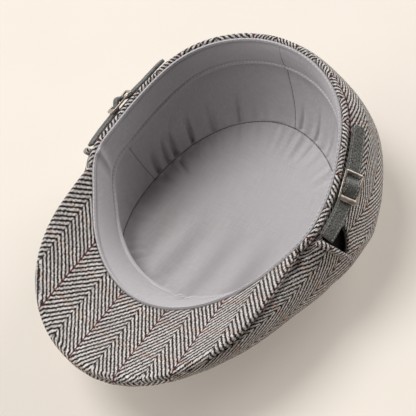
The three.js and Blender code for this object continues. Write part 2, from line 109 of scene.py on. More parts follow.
STRAP = {"from": 82, "to": 126.5, "width": 10.4, "thickness": 2, "corner": 2.4, "place": 0.165,
         "lift": 1.38, "over_bar": 6.23, "over_bar_spread": 2.4, "free_from": 114, "free_lift": 1.4}
BUCKLE = {"angle": 101.8, "length": 19, "width": 13.8, "thickness": 1.5, "corner": 1.6,
          "lift": 3.78, "rail": 1.3, "front_bar": 2.5, "middle_bar": 1.6, "rear_bar": 1.6}
ROLL = {"from_angle": 79.3, "from_place": 0.06, "to_angle": 81.9, "to_place": 0.8,
        "radius": 2.3, "flatness": 0.8, "taper": 0.45, "tip": 0.5, "uneven": 0.3, "column": 0.4}
# The vent's two edges, which meet at its foot.
VENT_FRONT = [
    {"place": 0.13, "angle": 81.1},
    {"place": 0.45, "angle": 81.3},
    {"place": 0.73, "angle": 82.6},
]
VENT_REAR = [
    {"place": 0.13, "angle": 90.6},
    {"place": 0.42, "angle": 88.2},
    {"place": 0.62, "angle": 84.9},
    {"place": 0.73, "angle": 82.6},
]
VENT_FOOT = 82.6

SIDES = {"right": 1, "left": -1}
# Small steps over which a slope is measured, and where the crown's flat top begins and ends.
STEP = {"angle": 0.5, "place": 0.01}
TOP_PLACE, LAST_PLACE = 1.97, 1.99

# ---------------------------------------------------------------- the cap's form

UP = np.array([0.0, 0.0, 1.0])


def fold_angle(angle):
    return np.abs((angle + 180) % 360 - 180)


def hump(value, middle, spread):
    return np.exp(-(((value - middle) / spread) ** 2))


def smooth(value, start, end):
    t = np.clip((value - start) / (end - start), 0, 1)
    return t * t * (3 - 2 * t)


def mix(a, b, share):
    return a + (b - a) * share


def unit(vectors):
    return vectors / np.maximum(np.linalg.norm(vectors, axis=-1, keepdims=True), 1e-9)


def times(numbers, vectors):
    return np.asarray(numbers)[..., None] * vectors


def column(table, name):
    return np.array([row[name] for row in table], float)


def read_table(table, name, angle):
    """A smooth curve through one column of a table sorted by angle, level at both ends."""
    at, values = column(table, "angle"), column(table, name)
    slope = np.zeros(len(at))
    slope[1:-1] = (values[2:] - values[:-2]) / (at[2:] - at[:-2])
    i = np.clip(np.searchsorted(at, angle, side="right") - 1, 0, len(at) - 2)
    width = at[i + 1] - at[i]
    t = (angle - at[i]) / width
    return (values[i] * (2 * t**3 - 3 * t**2 + 1) + slope[i] * width * (t**3 - 2 * t**2 + t)
            + values[i + 1] * (3 * t**2 - 2 * t**3) + slope[i + 1] * width * (t**3 - t**2))


def mouth(angle):
    turn, folded = np.radians(angle), fold_angle(angle)
    long, wide = MOUTH["half_length"], MOUTH["half_width"]
    swell = (TEMPLE["swell"] * hump(folded, TEMPLE["angle"], TEMPLE["spread"])
             - BEHIND_TEMPLE["draw_in"] * hump(folded, BEHIND_TEMPLE["angle"], BEHIND_TEMPLE["spread"]))
    square = unit(np.stack([long * np.sin(turn), -wide * np.cos(turn)], -1))
    lift = TEMPLE["lift"] * hump(folded, TEMPLE["angle"], TEMPLE["lift_spread"])
    fullness = 1 - MOUTH["back_fullness"] * np.cos(turn)
    return np.stack([
        wide * np.sin(turn) * fullness + square[..., 0] * swell,
        -long * np.cos(turn) + square[..., 1] * swell,
        lift - MOUTH["down"],
    ], -1)


def outward(angle):
    along = mouth(angle + STEP["angle"]) - mouth(angle - STEP["angle"])
    return unit(np.stack([along[..., 1], -along[..., 0], 0 * along[..., 0]], -1))


def peak_frame(angle):
    part = np.minimum(fold_angle(angle) / PEAK["end_angle"], 1)
    slope = np.radians(PEAK["slope"] + PEAK["slope_gain"] * part**2)
    forward = np.array([0.0, -PEAK["forward_lean"], 0.0])
    level = unit(outward(angle) * (1 - PEAK["forward_lean"]) + forward)
    away = times(np.cos(slope), level) + times(np.sin(slope), UP)
    square = times(np.cos(slope), UP) - times(np.sin(slope), level)
    return away, square, PEAK["reach"] * (1 - part ** PEAK["roundness"])


def peak_point(angle, distance, height):
    away, square, _ = peak_frame(angle)
    return mouth(angle) + times(distance, away) + times(height, square)


def crown_start(angle):
    under_hem = mouth(angle) + outward(angle) * CROWN_START["out"] - UP * CROWN_START["down"]
    _, _, reach = peak_frame(angle)
    under_peak = peak_point(angle, reach - CROWN_START["under_peak"],
                            -(PEAK["thickness"] + GAP) + 0 * reach)
    share = smooth(fold_angle(angle), PEAK["end_angle"] - PEAK["blend"], PEAK["end_angle"])
    return mix(under_peak, under_hem, share[..., None])


def crown_face(angle, place):
    """The crown's outer face: place 0 at the sewn edge, 1 at the fullest line, 2 at the top."""
    angle, place = np.broadcast_arrays(np.asarray(angle, float), np.asarray(place, float))
    folded = fold_angle(angle)
    _, _, reach = peak_frame(angle)
    in_front = (folded < PEAK["end_angle"])[..., None]
    edge = np.where(in_front, peak_point(angle, reach, 0 * reach), mouth(angle))
    full = (edge + times(read_table(CROWN, "bulge", folded), outward(angle))
            - times(read_table(CROWN, "drop", folded), UP))
    start = crown_start(angle)
    part = np.clip(place, 0, 1)
    turn = part * math.pi / 2
    out = np.sin(turn) ** CROWN_SHELF["roundness"]
    down = mix(1 - np.cos(turn), part, CROWN_SHELF["slope"])
    lower = start + (full - start) * np.stack([out, out, down], -1)
    turn = (2 - np.clip(place, 1, 2)) * math.pi / 2
    power = 2 / read_table(CROWN, "squareness", folded)
    out, down = np.sin(turn) ** power, np.cos(turn).clip(0) ** power
    upper = np.stack([
        full[..., 0] * out,
        mix(CROWN_TOP["y"], full[..., 1], out),
        mix(full[..., 2], -CROWN_TOP["depth"], down),
    ], -1)
    return np.where((place <= 1)[..., None], lower, upper)


def crown_facing(angle, place):
    angle, place = np.broadcast_arrays(np.asarray(angle, float), np.asarray(place, float))
    near = np.clip(place - STEP["place"], 0, TOP_PLACE)
    far = np.minimum(place + STEP["place"], LAST_PLACE)
    down = crown_face(angle, far) - crown_face(angle, near)
    along = crown_face(angle + STEP["angle"], place) - crown_face(angle - STEP["angle"], place)
    facing = unit(np.cross(down, along))
    return np.where((place > TOP_PLACE)[..., None], -UP, facing)


def on_crown(angle, place, height):
    return crown_face(angle, place) + times(height, crown_facing(angle, place))


def band_inset(angle):
    lengthways = np.cos(np.radians(angle))
    end = np.where(lengthways > 0, BAND["inset_front"], BAND["inset_back"])
    signed = (angle + 180) % 360 - 180
    pucker = BAND_PUCKER["depth"] * hump(signed, BAND_PUCKER["angle"], BAND_PUCKER["spread"])
    return BAND["inset_sides"] * (1 - lengthways**2) + end * lengthways**2 - pucker


def band_point(angle, depth, height):
    """A point of the sweatband: depth 0 at the mouth to 1 at its sewn lower edge."""
    inset, out = band_inset(angle), outward(angle)
    square = unit(-BAND["height"] * out + times(inset, UP))
    inward = WALL["band"] / 2 + GAP + inset * np.maximum(depth, 0) ** BAND["curl"]
    return mouth(angle) - times(inward, out) - times(BAND["height"] * depth, UP) + times(height, square)


def lining_seam(angle):
    """The seam of the lining's side and top, in the frame of the surface the cap lies on."""
    turn = np.radians(angle)
    return np.stack([
        LINING_OVAL["half_width"] * np.sin(turn),
        LINING_OVAL["middle_y"] - LINING_OVAL["half_length"] * np.cos(turn),
        read_table(LINING_SEAM, "height", fold_angle(angle)),
    ], -1)


PITCH = math.radians(REST["pitch"])


def settle(points, height=0.0):
    """From the cap's own frame to the surface it lies on; cloth below `height` is pressed."""
    x, y, z = points[..., 0], points[..., 1], points[..., 2]
    y, z = (y * math.cos(PITCH) - z * math.sin(PITCH),
            y * math.sin(PITCH) + z * math.cos(PITCH) + REST["mouth_height"])
    return np.stack([x, y, np.maximum(z, height)], -1)


def between_folds(angle, place):
    """How far the crown's pressed cloth stands off the surface."""
    folded = fold_angle(angle)
    ahead = folded / FOLDS["side_angle"]
    behind = (folded - FOLDS["side_angle"]) / (360 - 2 * FOLDS["side_angle"])
    rise = FOLDS["rise"] * np.sqrt(np.sin(math.pi * np.where(ahead <= 1, ahead, behind)).clip(0))
    return np.maximum(rise, np.where(place < FOLDS["end_before"], 0, FOLDS["flat_rise"]))


def unsettle(points):
    x, y, z = points[..., 0], points[..., 1], points[..., 2] - REST["mouth_height"]
    return np.stack([x, y * math.cos(PITCH) + z * math.sin(PITCH),
                     -y * math.sin(PITCH) + z * math.cos(PITCH)], -1)


# ---------------------------------------------------------------- making meshes

# The four corners of a face, as steps down the rows and over the columns of points.
FACE_CORNERS = [(0, 0), (1, 0), (1, 1), (0, 1)]
# A stitch's rings of points: where each lies along it, and its girth.
STITCH_RINGS = [
    {"along": -0.5, "girth": 0.35},
    {"along": -0.36, "girth": 0.9},
    {"along": 0, "girth": 1},
    {"along": 0.36, "girth": 0.9},
    {"along": 0.5, "girth": 0.35},
]
STITCH_SIDES = 6
WELD = 0.02


def soft_noise(x, y, seed, waves=9):
    """Gentle unevenness between about -1 and 1, from a few crossing waves."""
    pick = np.random.default_rng(seed)
    total = 0.0
    for _ in range(waves):
        heading, pitch, start = pick.uniform(0, math.tau), pick.uniform(0.6, 1.6), pick.uniform(0, math.tau)
        total = total + np.sin(pitch * (x * math.cos(heading) + y * math.sin(heading)) + start)
    return total * 1.4 / math.sqrt(waves) / 2


def running_length(points, axis):
    """How far along a row or column of points each one lies."""
    steps = np.linalg.norm(np.diff(points, axis=axis), axis=-1)
    start = np.zeros_like(np.take(steps, [0], axis=axis))
    return np.concatenate([start, np.cumsum(steps, axis=axis)], axis=axis)


def into_object(name, mesh, material, replaces=()):
    mesh.materials.append(material)
    mesh.shade_smooth()
    piece = bpy.data.objects.new(name, mesh)
    bpy.context.scene.collection.objects.link(piece)
    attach(piece, "root")
    if replaces:
        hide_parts(*replaces)
    return piece


def mesh_from(name, points, faces):
    """A mesh from points in millimetres."""
    placed = points.reshape(-1, 3) * MM + np.array([0, 0, FLOOR])
    mesh = bpy.data.meshes.new(name)
    mesh.from_pydata(placed.tolist(), [], faces)
    mesh.update()
    return mesh


def grid_mesh(name, points, weave=None, closed=(False, False), caps=False):
    """A mesh over rows and columns of points, with its weave kept as a UV map."""
    rows, cols = points.shape[:2]
    down, over = np.meshgrid(np.arange(rows - 1 + closed[0]), np.arange(cols - 1 + closed[1]),
                             indexing="ij")
    faces = np.stack([(down + a) % rows * cols + (over + b) % cols for a, b in FACE_CORNERS], -1)
    faces = faces.reshape(-1, 4).tolist()
    if caps:
        faces += [list(range(cols)), list(range(rows * cols - 1, (rows - 1) * cols - 1, -1))]
    mesh = mesh_from(name, points, faces)
    if weave is not None:
        spots = np.stack([weave[down + a, over + b] for a, b in FACE_CORNERS], 2).reshape(-1, 2)
        layer = np.zeros((len(mesh.loops), 2))
        layer[:len(spots)] = spots
        mesh.uv_layers.new(name="weave").data.foreach_set("uv", layer.ravel())
    return mesh


def join_meshes(name, meshes):
    """One mesh from several, welded where they meet."""
    work = bmesh.new()
    for mesh in meshes:
        work.from_mesh(mesh)
        bpy.data.meshes.remove(mesh)
    bmesh.ops.remove_doubles(work, verts=work.verts, dist=WELD * MM)
    joined = bpy.data.meshes.new(name)
    work.to_mesh(joined)
    work.free()
    return joined


def thicken(piece, thickness):
    """Gives a sheet its thickness, behind the face that is drawn."""
    wall = piece.modifiers.new("wall", "SOLIDIFY")
    wall.thickness = thickness * MM
    wall.offset = -1
    whole = bpy.data.meshes.new_from_object(piece.evaluated_get(bpy.context.evaluated_depsgraph_get()))
    piece.modifiers.clear()
    piece.data = whole


def sweep_points(middles, across, facing, section):
    """Rows of points: the section (sideways, height) carried along the middles."""
    return middles[:, None] + section[..., 0:1] * across[:, None] + section[..., 1:2] * facing[:, None]


def swept_piece(name, points, material, replaces=(), weave=None, flipped=False):
    """A capped length of cord, roll or strap over rows of points that ring it."""
    if flipped:
        points = points[:, ::-1]
        weave = None if weave is None else weave[:, ::-1]
    mesh = grid_mesh(name, settle(points), weave, closed=(False, True), caps=True)
    return into_object(name, mesh, material, replaces)


def rounded_section(half_width, half_height, corner, per_corner=4):
    """A closed rounded rectangle, as rows of (sideways, height)."""
    turns = np.linspace(0, math.pi / 2, per_corner)
    rows = []
    for quarter, (right, high) in enumerate([(1, 1), (-1, 1), (-1, -1), (1, -1)]):
        turn = turns + quarter * math.pi / 2
        rows.append(np.stack([right * (half_width - corner) + corner * np.cos(turn),
                              high * (half_height - corner) + corner * np.sin(turn)], -1))
    return np.concatenate(rows)


def oval_section(half_width, half_height, count):
    turn = np.linspace(0, math.tau, count, endpoint=False)
    return np.stack([half_width * np.cos(turn), half_height * np.sin(turn)], -1)


def path_frames(middles, facing):
    along = unit(np.gradient(middles, axis=0))
    across = unit(np.cross(facing, along))
    return along, across, unit(np.cross(along, across))


def stitch_row(name, middles, along, facing, length, radius, material, slant=0.0):
    """A run of stitches: a short rounded thread at each middle."""
    along, facing = unit(along), unit(facing)
    across = np.cross(facing, along)
    along = unit(along + across * slant)
    across = np.cross(facing, along)
    reach = column(STITCH_RINGS, "along") * length
    girth = column(STITCH_RINGS, "girth") * radius
    turn = np.linspace(0, math.tau, STITCH_SIDES, endpoint=False)
    ring = (np.cos(turn)[None, :, None] * across[:, None, None]
            + np.sin(turn)[None, :, None] * facing[:, None, None])
    points = (middles[:, None, None] + reach[None, :, None, None] * along[:, None, None]
              + girth[None, :, None, None] * ring)
    count, rings, sides = points.shape[:3]
    base = np.arange(count)[:, None, None] * rings * sides
    down, over = np.meshgrid(np.arange(rings - 1), np.arange(sides), indexing="ij")
    quads = np.stack([(down + b) * sides + (over + a) % sides for a, b in FACE_CORNERS], -1)
    quads = quads.reshape(1, -1, 4) + base
    ends = np.stack([np.arange(sides)[::-1], (rings - 1) * sides + np.arange(sides)])[None] + base
    mesh = mesh_from(name, points, quads.reshape(-1, 4).tolist() + ends.reshape(-1, sides).tolist())
    return into_object(name, mesh, material)


# ---------------------------------------------------------------- materials

SMOOTH_STEP = {"interpolation_type": "SMOOTHSTEP"}
COLOURS = {"data_type": "RGBA", "output": 2}
# The sockets that take a colour mix's share and its two colours.
SHARE, FIRST, SECOND = 0, 6, 7


def srgb(code, shade=(1, 1, 1)):
    """The linear colour of an sRGB hex code, shaded."""
    parts = [int(code[i:i + 2], 16) / 255 for i in (1, 3, 5)]
    linear = [c / 12.92 if c <= 0.04045 else ((c + 0.055) / 1.055) ** 2.4 for c in parts]
    return tuple(min(c * k, 1) for c, k in zip(linear, shade)) + (1.0,)


def new_material(name):
    """An empty material, and the function that adds a node to it with its settings and links."""
    material = bpy.data.materials.new(name)
    material.use_nodes = True
    tree = material.node_tree
    tree.nodes.clear()

    def add(kind, inputs=(), output=0, **settings):
        made = tree.nodes.new("ShaderNode" + kind)
        for setting, value in settings.items():
            setattr(made, setting, value)
        for socket, value in (inputs.items() if isinstance(inputs, dict) else enumerate(inputs)):
            if isinstance(value, bpy.types.NodeSocket):
                tree.links.new(value, made.inputs[socket])
            else:
                made.inputs[socket].default_value = value
        return made.outputs[output] if made.outputs else None

    return material, add


def finish_material(add, inputs, height=None, relief=0.0):
    """The shader itself, with the surface's relief in millimetres."""
    inputs = dict(inputs)
    if height is not None:
        inputs["Normal"] = add("Bump", {"Height": height, "Distance": relief * MM, "Strength": 1.0})
    add("OutputMaterial", {"Surface": add("BsdfPrincipled", inputs)})


def place_in_mm(add):
    return add("VectorMath", {0: add("TexCoord", output="Object"), "Scale": 1 / MM}, operation="SCALE")


# Wool herringbone tweed, woven from soft spun yarn and lightly brushed: off-white floats over a
# charcoal-brown ground in upright columns, with a burgundy warp thread at every second border
# and a sparse tan weft. The eye sees fine broken diagonals with fuzzy edges and no shine.
# Sizes in millimetres: a column's width and one float along the warp. Then, counted: the twills
# and threads across a column, and the floats from one tan weft to the next.
TWEED = {"column": 17.55, "float": 4.13, "lines": 5.5, "threads": 9, "pane": 6.15, "pane_start": 3.15,
         "light": "#e9e5e2", "beige": "#c1b9b5", "dark": "#1b1211", "brown": "#3c2d2b",
         "burgundy": "#5e1f22", "tan": "#dcbba6"}
# The rolled hem lies on the bias, so more of its twills show across a column.
HEM_TWILLS = {"lines": 6.4, "stripe": 0.03}


def tweed(name, lines=TWEED["lines"], stripe=0.034):
    """The cloth's UV map counts columns across and floats along; `lines` twills cross a column, and
    `stripe` is a border thread's share of it."""
    material, add = new_material(name)
    uv = add("UVMap", uv_map="weave")
    across, along = [add("SeparateXYZ", (uv,), output=axis) for axis in "XY"]
    mm = add("VectorMath", (uv, (TWEED["column"], TWEED["float"], 1)), operation="MULTIPLY")
    drift = add("TexNoise", {"Vector": mm, "Scale": 0.12, "Detail": 1})
    slub = add("TexNoise", {"Vector": mm, "Scale": 0.55, "Detail": 2})
    fibre = add("TexNoise", {"Vector": mm, "Scale": 1.25, "Detail": 2, "Roughness": 0.65})
    cloud = add("TexNoise", {"Vector": mm, "Scale": 0.05, "Detail": 2})
    # The twills climb away from each burgundy thread, and wander a little.
    behind = add("Math", (across, 1), operation="SUBTRACT")
    from_stripe = add("Math", (behind, 1), operation="PINGPONG")
    climb = add("Math", (from_stripe, lines, along), operation="MULTIPLY_ADD")
    pulled = add("Math", (drift, 0.3, -0.15), operation="MULTIPLY_ADD")
    uneven = add("Math", (slub, 0.14, -0.07), operation="MULTIPLY_ADD")
    wander = add("Math", (pulled, uneven), operation="ADD")
    phase = add("Math", (climb, wander), operation="ADD")
    half_wave = add("Math", (phase, 0.5), operation="PINGPONG")
    wave = add("Math", (half_wave, 2), operation="MULTIPLY")
    # Each twill climbs a thread at a time, so its edges are beaded, and the nap blurs them.
    threads = add("Math", (across, TWEED["threads"]), operation="MULTIPLY")
    bead = add("Math", (threads, 0.5), operation="PINGPONG")
    bead = add("Math", (bead, 0.5, -0.125), operation="MULTIPLY_ADD")
    beaded = add("Math", (wave, bead), operation="ADD")
    nap = add("Math", (fibre, 2.1, -1.05), operation="MULTIPLY_ADD")
    worn = add("Math", (beaded, nap), operation="ADD")
    light = add("MapRange", (worn, 0.36, 0.68), **SMOOTH_STEP)
    bleached = add("MapRange", (slub, 0.38, 0.58), **SMOOTH_STEP)
    pale = {SHARE: bleached, FIRST: srgb(TWEED["beige"]), SECOND: srgb(TWEED["light"])}
    faded = add("MapRange", (slub, 0.42, 0.62), **SMOOTH_STEP)
    deep = {SHARE: faded, FIRST: srgb(TWEED["dark"]), SECOND: srgb(TWEED["brown"])}
    ground = {SHARE: light, FIRST: add("Mix", deep, **COLOURS), SECOND: add("Mix", pale, **COLOURS)}
    ground = add("Mix", ground, **COLOURS)
    # Where two columns meet, the twills break against a dark thread.
    from_border = add("Math", (across, 0.5), operation="PINGPONG")
    at_border = add("MapRange", (from_border, stripe, 0.4 * stripe), **SMOOTH_STEP)
    unworn = add("MapRange", (fibre, 0.62, 0.42), **SMOOTH_STEP)
    on_border = add("Math", (at_border, unworn), operation="MULTIPLY")
    on_border = add("Math", (on_border, 0.75), operation="MULTIPLY")
    broken = add("Mix", {SHARE: on_border, FIRST: ground, SECOND: srgb(TWEED["dark"])}, **COLOURS)
    # The burgundy warp thread.
    at_stripe = add("MapRange", (from_stripe, stripe, 0.45 * stripe), **SMOOTH_STEP)
    over_dark = add("MapRange", (wave, 1.0, 0.5, 0.7, 1.0), **SMOOTH_STEP)
    on_stripe = add("Math", (at_stripe, over_dark), operation="MULTIPLY")
    striped = add("Mix", {SHARE: on_stripe, FIRST: broken, SECOND: srgb(TWEED["burgundy"])}, **COLOURS)
    # The tan weft, seen where it floats over the pale threads.
    from_start = add("Math", (along, TWEED["pane_start"]), operation="ADD")
    from_pane = add("Math", (from_start, TWEED["pane"] / 2), operation="PINGPONG")
    at_pane = add("MapRange", (from_pane, 0.26, 0.08), **SMOOTH_STEP)
    over_pale = add("MapRange", (worn, 0.3, 0.75), **SMOOTH_STEP)
    on_pane = add("Math", (at_pane, over_pale), operation="MULTIPLY")
    on_pane = add("Math", (on_pane, 0.75), operation="MULTIPLY")
    checked = add("Mix", {SHARE: on_pane, FIRST: striped, SECOND: srgb(TWEED["tan"])}, **COLOURS)
    soiled = add("MapRange", (cloud, 0.35, 0.65, 0.0, 0.12), **SMOOTH_STEP)
    colour = add("Mix", {SHARE: soiled, FIRST: checked, SECOND: srgb(TWEED["brown"])}, **COLOURS)
    raised = add("Math", (light, 0.7), operation="MULTIPLY")
    height = add("Math", (fibre, 0.5, raised), operation="MULTIPLY_ADD")
    finish_material(add, {"Base Color": colour, "Roughness": 0.92, "Specular IOR Level": 0.2,
                          "Sheen Weight": 0.12, "Sheen Roughness": 0.5}, height, relief=0.3)
    return material


# Brushed cotton twill, dyed pale grey: matt and soft, with a weave so fine that it is drawn
# twice as coarse as its half-millimetre threads for it to show at all.
def cotton(name, colour, thread=1.0, relief=0.06):
    material, add = new_material(name)
    mm = place_in_mm(add)
    spun = add("TexNoise", {"Vector": mm, "Scale": 1 / thread, "Detail": 2})
    yarns = []
    for stretch in ((1.6 / thread, 0.08, 0.3), (0.08, 1.6 / thread, 0.3)):
        drawn = add("Mapping", {"Vector": mm, "Scale": stretch})
        yarns.append(add("TexNoise", {"Vector": drawn, "Scale": 1.0, "Detail": 1}))
    cloud = add("TexNoise", {"Vector": mm, "Scale": 0.03, "Detail": 2})
    crossed = add("Math", yarns, operation="ADD")
    threads = add("Math", (spun, 0.6, crossed), operation="MULTIPLY_ADD")
    shade = add("MapRange", (threads, 0.95, 1.65), **SMOOTH_STEP)
    darker, lighter = srgb(colour, (0.9, 0.9, 0.9)), srgb(colour, (1.03, 1.03, 1.03))
    woven = add("Mix", {SHARE: shade, FIRST: darker, SECOND: lighter}, **COLOURS)
    warm = srgb(colour, (0.98, 0.95, 0.965))
    warmth = add("MapRange", (cloud, 0.35, 0.7, 0.0, 0.6), **SMOOTH_STEP)
    tinted = add("Mix", {SHARE: warmth, FIRST: woven, SECOND: warm}, **COLOURS)
    finish_material(add, {"Base Color": tinted, "Roughness": 0.85, "Specular IOR Level": 0.25,
                          "Sheen Weight": 0.15, "Sheen Roughness": 0.4}, threads, relief)
    return material


# Pressed wool felt, dyed slate grey from mixed fleece: no weave, short fibres of many greys.
def felt(name):
    material, add = new_material(name)
    mm = place_in_mm(add)
    curl = add("TexNoise", {"Vector": mm, "Scale": 0.5, "Detail": 1}, output="Color")
    bent = add("VectorMath", {0: curl, "Scale": 1.6}, operation="SCALE")
    fleece = add("VectorMath", (mm, bent), operation="ADD")
    combed = add("Mapping", {"Vector": fleece, "Scale": (2.4, 0.8, 1.5)})
    fibre = add("TexNoise", {"Vector": combed, "Scale": 1.0, "Detail": 3, "Roughness": 0.7})
    tuft = add("TexNoise", {"Vector": mm, "Scale": 0.35, "Detail": 2})
    mixed = add("MapRange", (fibre, 0.36, 0.64), **SMOOTH_STEP)
    grey = add("Mix", {SHARE: mixed, FIRST: srgb("#282928"), SECOND: srgb("#82817e")}, **COLOURS)
    matted = add("MapRange", (tuft, 0.4, 0.65, 0.0, 0.2), **SMOOTH_STEP)
    colour = add("Mix", {SHARE: matted, FIRST: grey, SECOND: srgb("#454644")}, **COLOURS)
    finish_material(add, {"Base Color": colour, "Roughness": 0.95, "Specular IOR Level": 0.15,
                          "Sheen Weight": 0.25, "Sheen Roughness": 0.5}, fibre, relief=0.25)
    return material


# Nickel-plated steel, stamped and brushed: warm silver with fine lines along the wire.
def nickel(name):
    material, add = new_material(name)
    mm = place_in_mm(add)
    drawn = add("Mapping", {"Vector": mm, "Scale": (5.0, 0.5, 5.0)})
    lines = add("TexNoise", {"Vector": drawn, "Scale": 1.0, "Detail": 3})
    smudge = add("TexNoise", {"Vector": mm, "Scale": 0.25, "Detail": 2})
    dulled = add("MapRange", (smudge, 0.35, 0.7), **SMOOTH_STEP)
    colour = add("Mix", {SHARE: dulled, FIRST: srgb("#cabfb4"), SECOND: srgb("#9f9489")}, **COLOURS)
    rough = add("MapRange", (lines, 0.3, 0.7, 0.34, 0.5), **SMOOTH_STEP)
    finish_material(add, {"Base Color": colour, "Metallic": 1.0, "Roughness": rough}, lines, relief=0.02)
    return material


# Black satin bias tape and the black pocketing cloth behind it: the tape catches a soft streak
# of light along its fold, the cloth swallows it.
def dark_cloth(name, colour, lighter, roughness):
    material, add = new_material(name)
    thread = add("TexNoise", {"Vector": place_in_mm(add), "Scale": 1.4, "Detail": 2})
    worn = add("MapRange", (thread, 0.35, 0.65), **SMOOTH_STEP)
    shade = add("Mix", {SHARE: worn, FIRST: srgb(colour), SECOND: srgb(lighter)}, **COLOURS)
    finish_material(add, {"Base Color": shade, "Roughness": roughness, "Specular IOR Level": 0.4},
                    thread, relief=0.05)
    return material


# A shooting table of opal acrylic, lit a little from beneath so that shadows on it stay soft.
def opal_acrylic(name):
    material, add = new_material(name)
    place = add("TexCoord", output="Object")
    tooth = add("TexNoise", {"Vector": place, "Scale": 9.0, "Detail": 2})
    milky = add("MapRange", (tooth, 0.3, 0.7), **SMOOTH_STEP)
    tone = add("Mix", {SHARE: milky, FIRST: srgb("#cdc6be"), SECOND: srgb("#cfc8c0")}, **COLOURS)
    finish_material(add, {"Base Color": tone, "Roughness": 0.9, "Specular IOR Level": 0.1,
                          "Emission Color": srgb("#fff4e7"), "Emission Strength": 0.25})
    return material


side_tweed = tweed("herringbone tweed, crown")
peak_tweed = tweed("herringbone tweed, peak")
hem_tweed = tweed("herringbone tweed, rolled hem", **HEM_TWILLS)
lining_cotton = cotton("brushed cotton lining", "#bbb8ba")
band_cotton = cotton("cotton sweatband", "#c0bdc0", thread=0.8, relief=0.03)
thread_cotton = cotton("cotton sewing thread", "#dad7d9", thread=0.4)
# The seams' sunk threads are dark grey: painted shade of the grooves they lie in.
seam_shade_thread = cotton("seam thread in painted shade", "#7a7476", thread=0.4)
strap_wool = felt("slate wool felt")
strap_thread = cotton("grey sewing thread", "#a6a8a3", thread=0.4)
slide_nickel = nickel("brushed nickel")
tape_satin = dark_cloth("black satin tape", "#1b1a1b", "#3a3a3d", 0.42)
pocket_cloth = dark_cloth("black pocketing cloth", "#0a0909", "#141213", 0.95)


# ---------------------------------------------------------------- the tweed pieces

# The crown's weave beside the mouth: how far down from the sewn edge its borders run.
CROWN_BORDERS = [
    {"angle": 20, "plain": 0.5, "burgundy": 11},
    {"angle": 40, "plain": 1.5, "burgundy": 12},
    {"angle": 50, "plain": 4, "burgundy": 14},
    {"angle": 57, "plain": 7.7, "burgundy": 19.5},
    {"angle": 63, "plain": 11, "burgundy": 23.5},
    {"angle": 70, "plain": 13.3, "burgundy": 27.8},
    {"angle": 76, "plain": 14.7, "burgundy": 30},
    {"angle": 87, "plain": 14.5, "burgundy": 27},
    {"angle": 103, "plain": 15.5, "burgundy": 28},
    {"angle": 111, "plain": 16, "burgundy": 30},
    {"angle": 127, "plain": 17.5, "burgundy": 34},
    {"angle": 180, "plain": 17.5, "burgundy": 34},
]
# Below its burgundy border the side panel's cloth lies unstretched.
SIDE_COLUMN, SIDE_FLOAT = 19.0, 4.0
END_COLUMN, END_FLOAT = 16.4, 4.4
# The front panel is cut with its columns running down, and is seamed to the sides here.
FRONT_PANEL = {"angle": 24, "burgundy": 17.5}
# Where a burgundy or plain border crosses the rolled hem, by angle from the front.
HEM_BORDERS = [
    {"angle": 60, "column": 10.4},
    {"angle": 78.7, "column": 9},
    {"angle": 105.4, "column": 7},
    {"angle": 149.6, "column": 3},
    {"angle": 171.4, "column": 1},
    {"angle": 192.5, "column": -1},
    {"angle": 226.9, "column": -3},
    {"angle": 250.4, "column": -5},
    {"angle": 276, "column": -7},
    {"angle": 300, "column": -8.8},
]
TOP_SEAM = {"place": 1.3, "depth": 0.9, "width": 0.012}
BACK_SEAM = {"depth": 0.7, "width": 0.5}
PANEL_SEAM = {"depth": 0.8, "width": 0.4}
# The soft crown's unevenness: broad swells, fine ripples over the front, a tuck under the peak's
# rim and a hollow below each vent.
SWELL = {"height": 0.8, "angle": 11, "place": 0.3}
RIPPLE = {"height": 0.12, "pitch": 0.5, "sway": 2, "angle": 20}
RIM_TUCK = {"depth": 2.6, "place": 0.07, "width": 0.07}
VENT_HOLLOW = {"depth": 1.3, "lean": 30, "lean_from": 0.7, "width": 4, "place": 0.95, "height": 0.25}
VENT_TOP = {"place": 0.02, "angle": 84.5}
# How many degrees of the crown beside a vent bend to follow its edges.
VENT_BEND = {"ahead": 14, "behind": 30}
PEAK_BOW = {"most": 2.35, "half_width": 53}
# The peak's cloth was cut a little off its weft, which climbs and then falls away across it.
PEAK_SKEW = {"climb": 0.0736, "fall": 0.00328, "tightness": 1.06}
PEAK_UNEVEN = {"height": 0.35, "apart": 9, "plain_edge": 3, "full": 12}
HEM_UNEVEN = {"height": 0.25, "angle": 3}

rim_angles = np.linspace(0, 180, 721)
rim_length = running_length(mouth(rim_angles), 0)


def crown_weave(angle, place, arc, points):
    """Columns across and floats along at a point of the crown: borders run forward at the sides,
    and down the front panel; the top is a panel of its own."""
    folded, sideways = fold_angle(angle), np.abs(points[..., 0])
    plain = np.interp(folded, column(CROWN_BORDERS, "angle"), column(CROWN_BORDERS, "plain"))
    burgundy = np.interp(folded, column(CROWN_BORDERS, "angle"), column(CROWN_BORDERS, "burgundy"))
    backward = np.interp(folded, rim_angles, rim_length) / SIDE_FLOAT
    near_mouth = 2 - (arc - plain) / (burgundy - plain)
    below = 1 - (arc - burgundy) / SIDE_COLUMN
    side = np.stack([np.where(arc < burgundy, near_mouth, below), -backward], -1)
    front = np.stack([1 + (sideways - FRONT_PANEL["burgundy"]) / END_COLUMN, -arc / END_FLOAT], -1)
    weave = np.where((folded < FRONT_PANEL["angle"])[..., None], front, side)
    inward = (arc[-1:] - arc) / END_COLUMN
    turn = np.radians(angle)
    top = np.stack([inward * np.sin(turn), inward * np.cos(turn) * END_COLUMN / END_FLOAT], -1)
    return np.where((place > TOP_SEAM["place"])[..., None], top, weave)


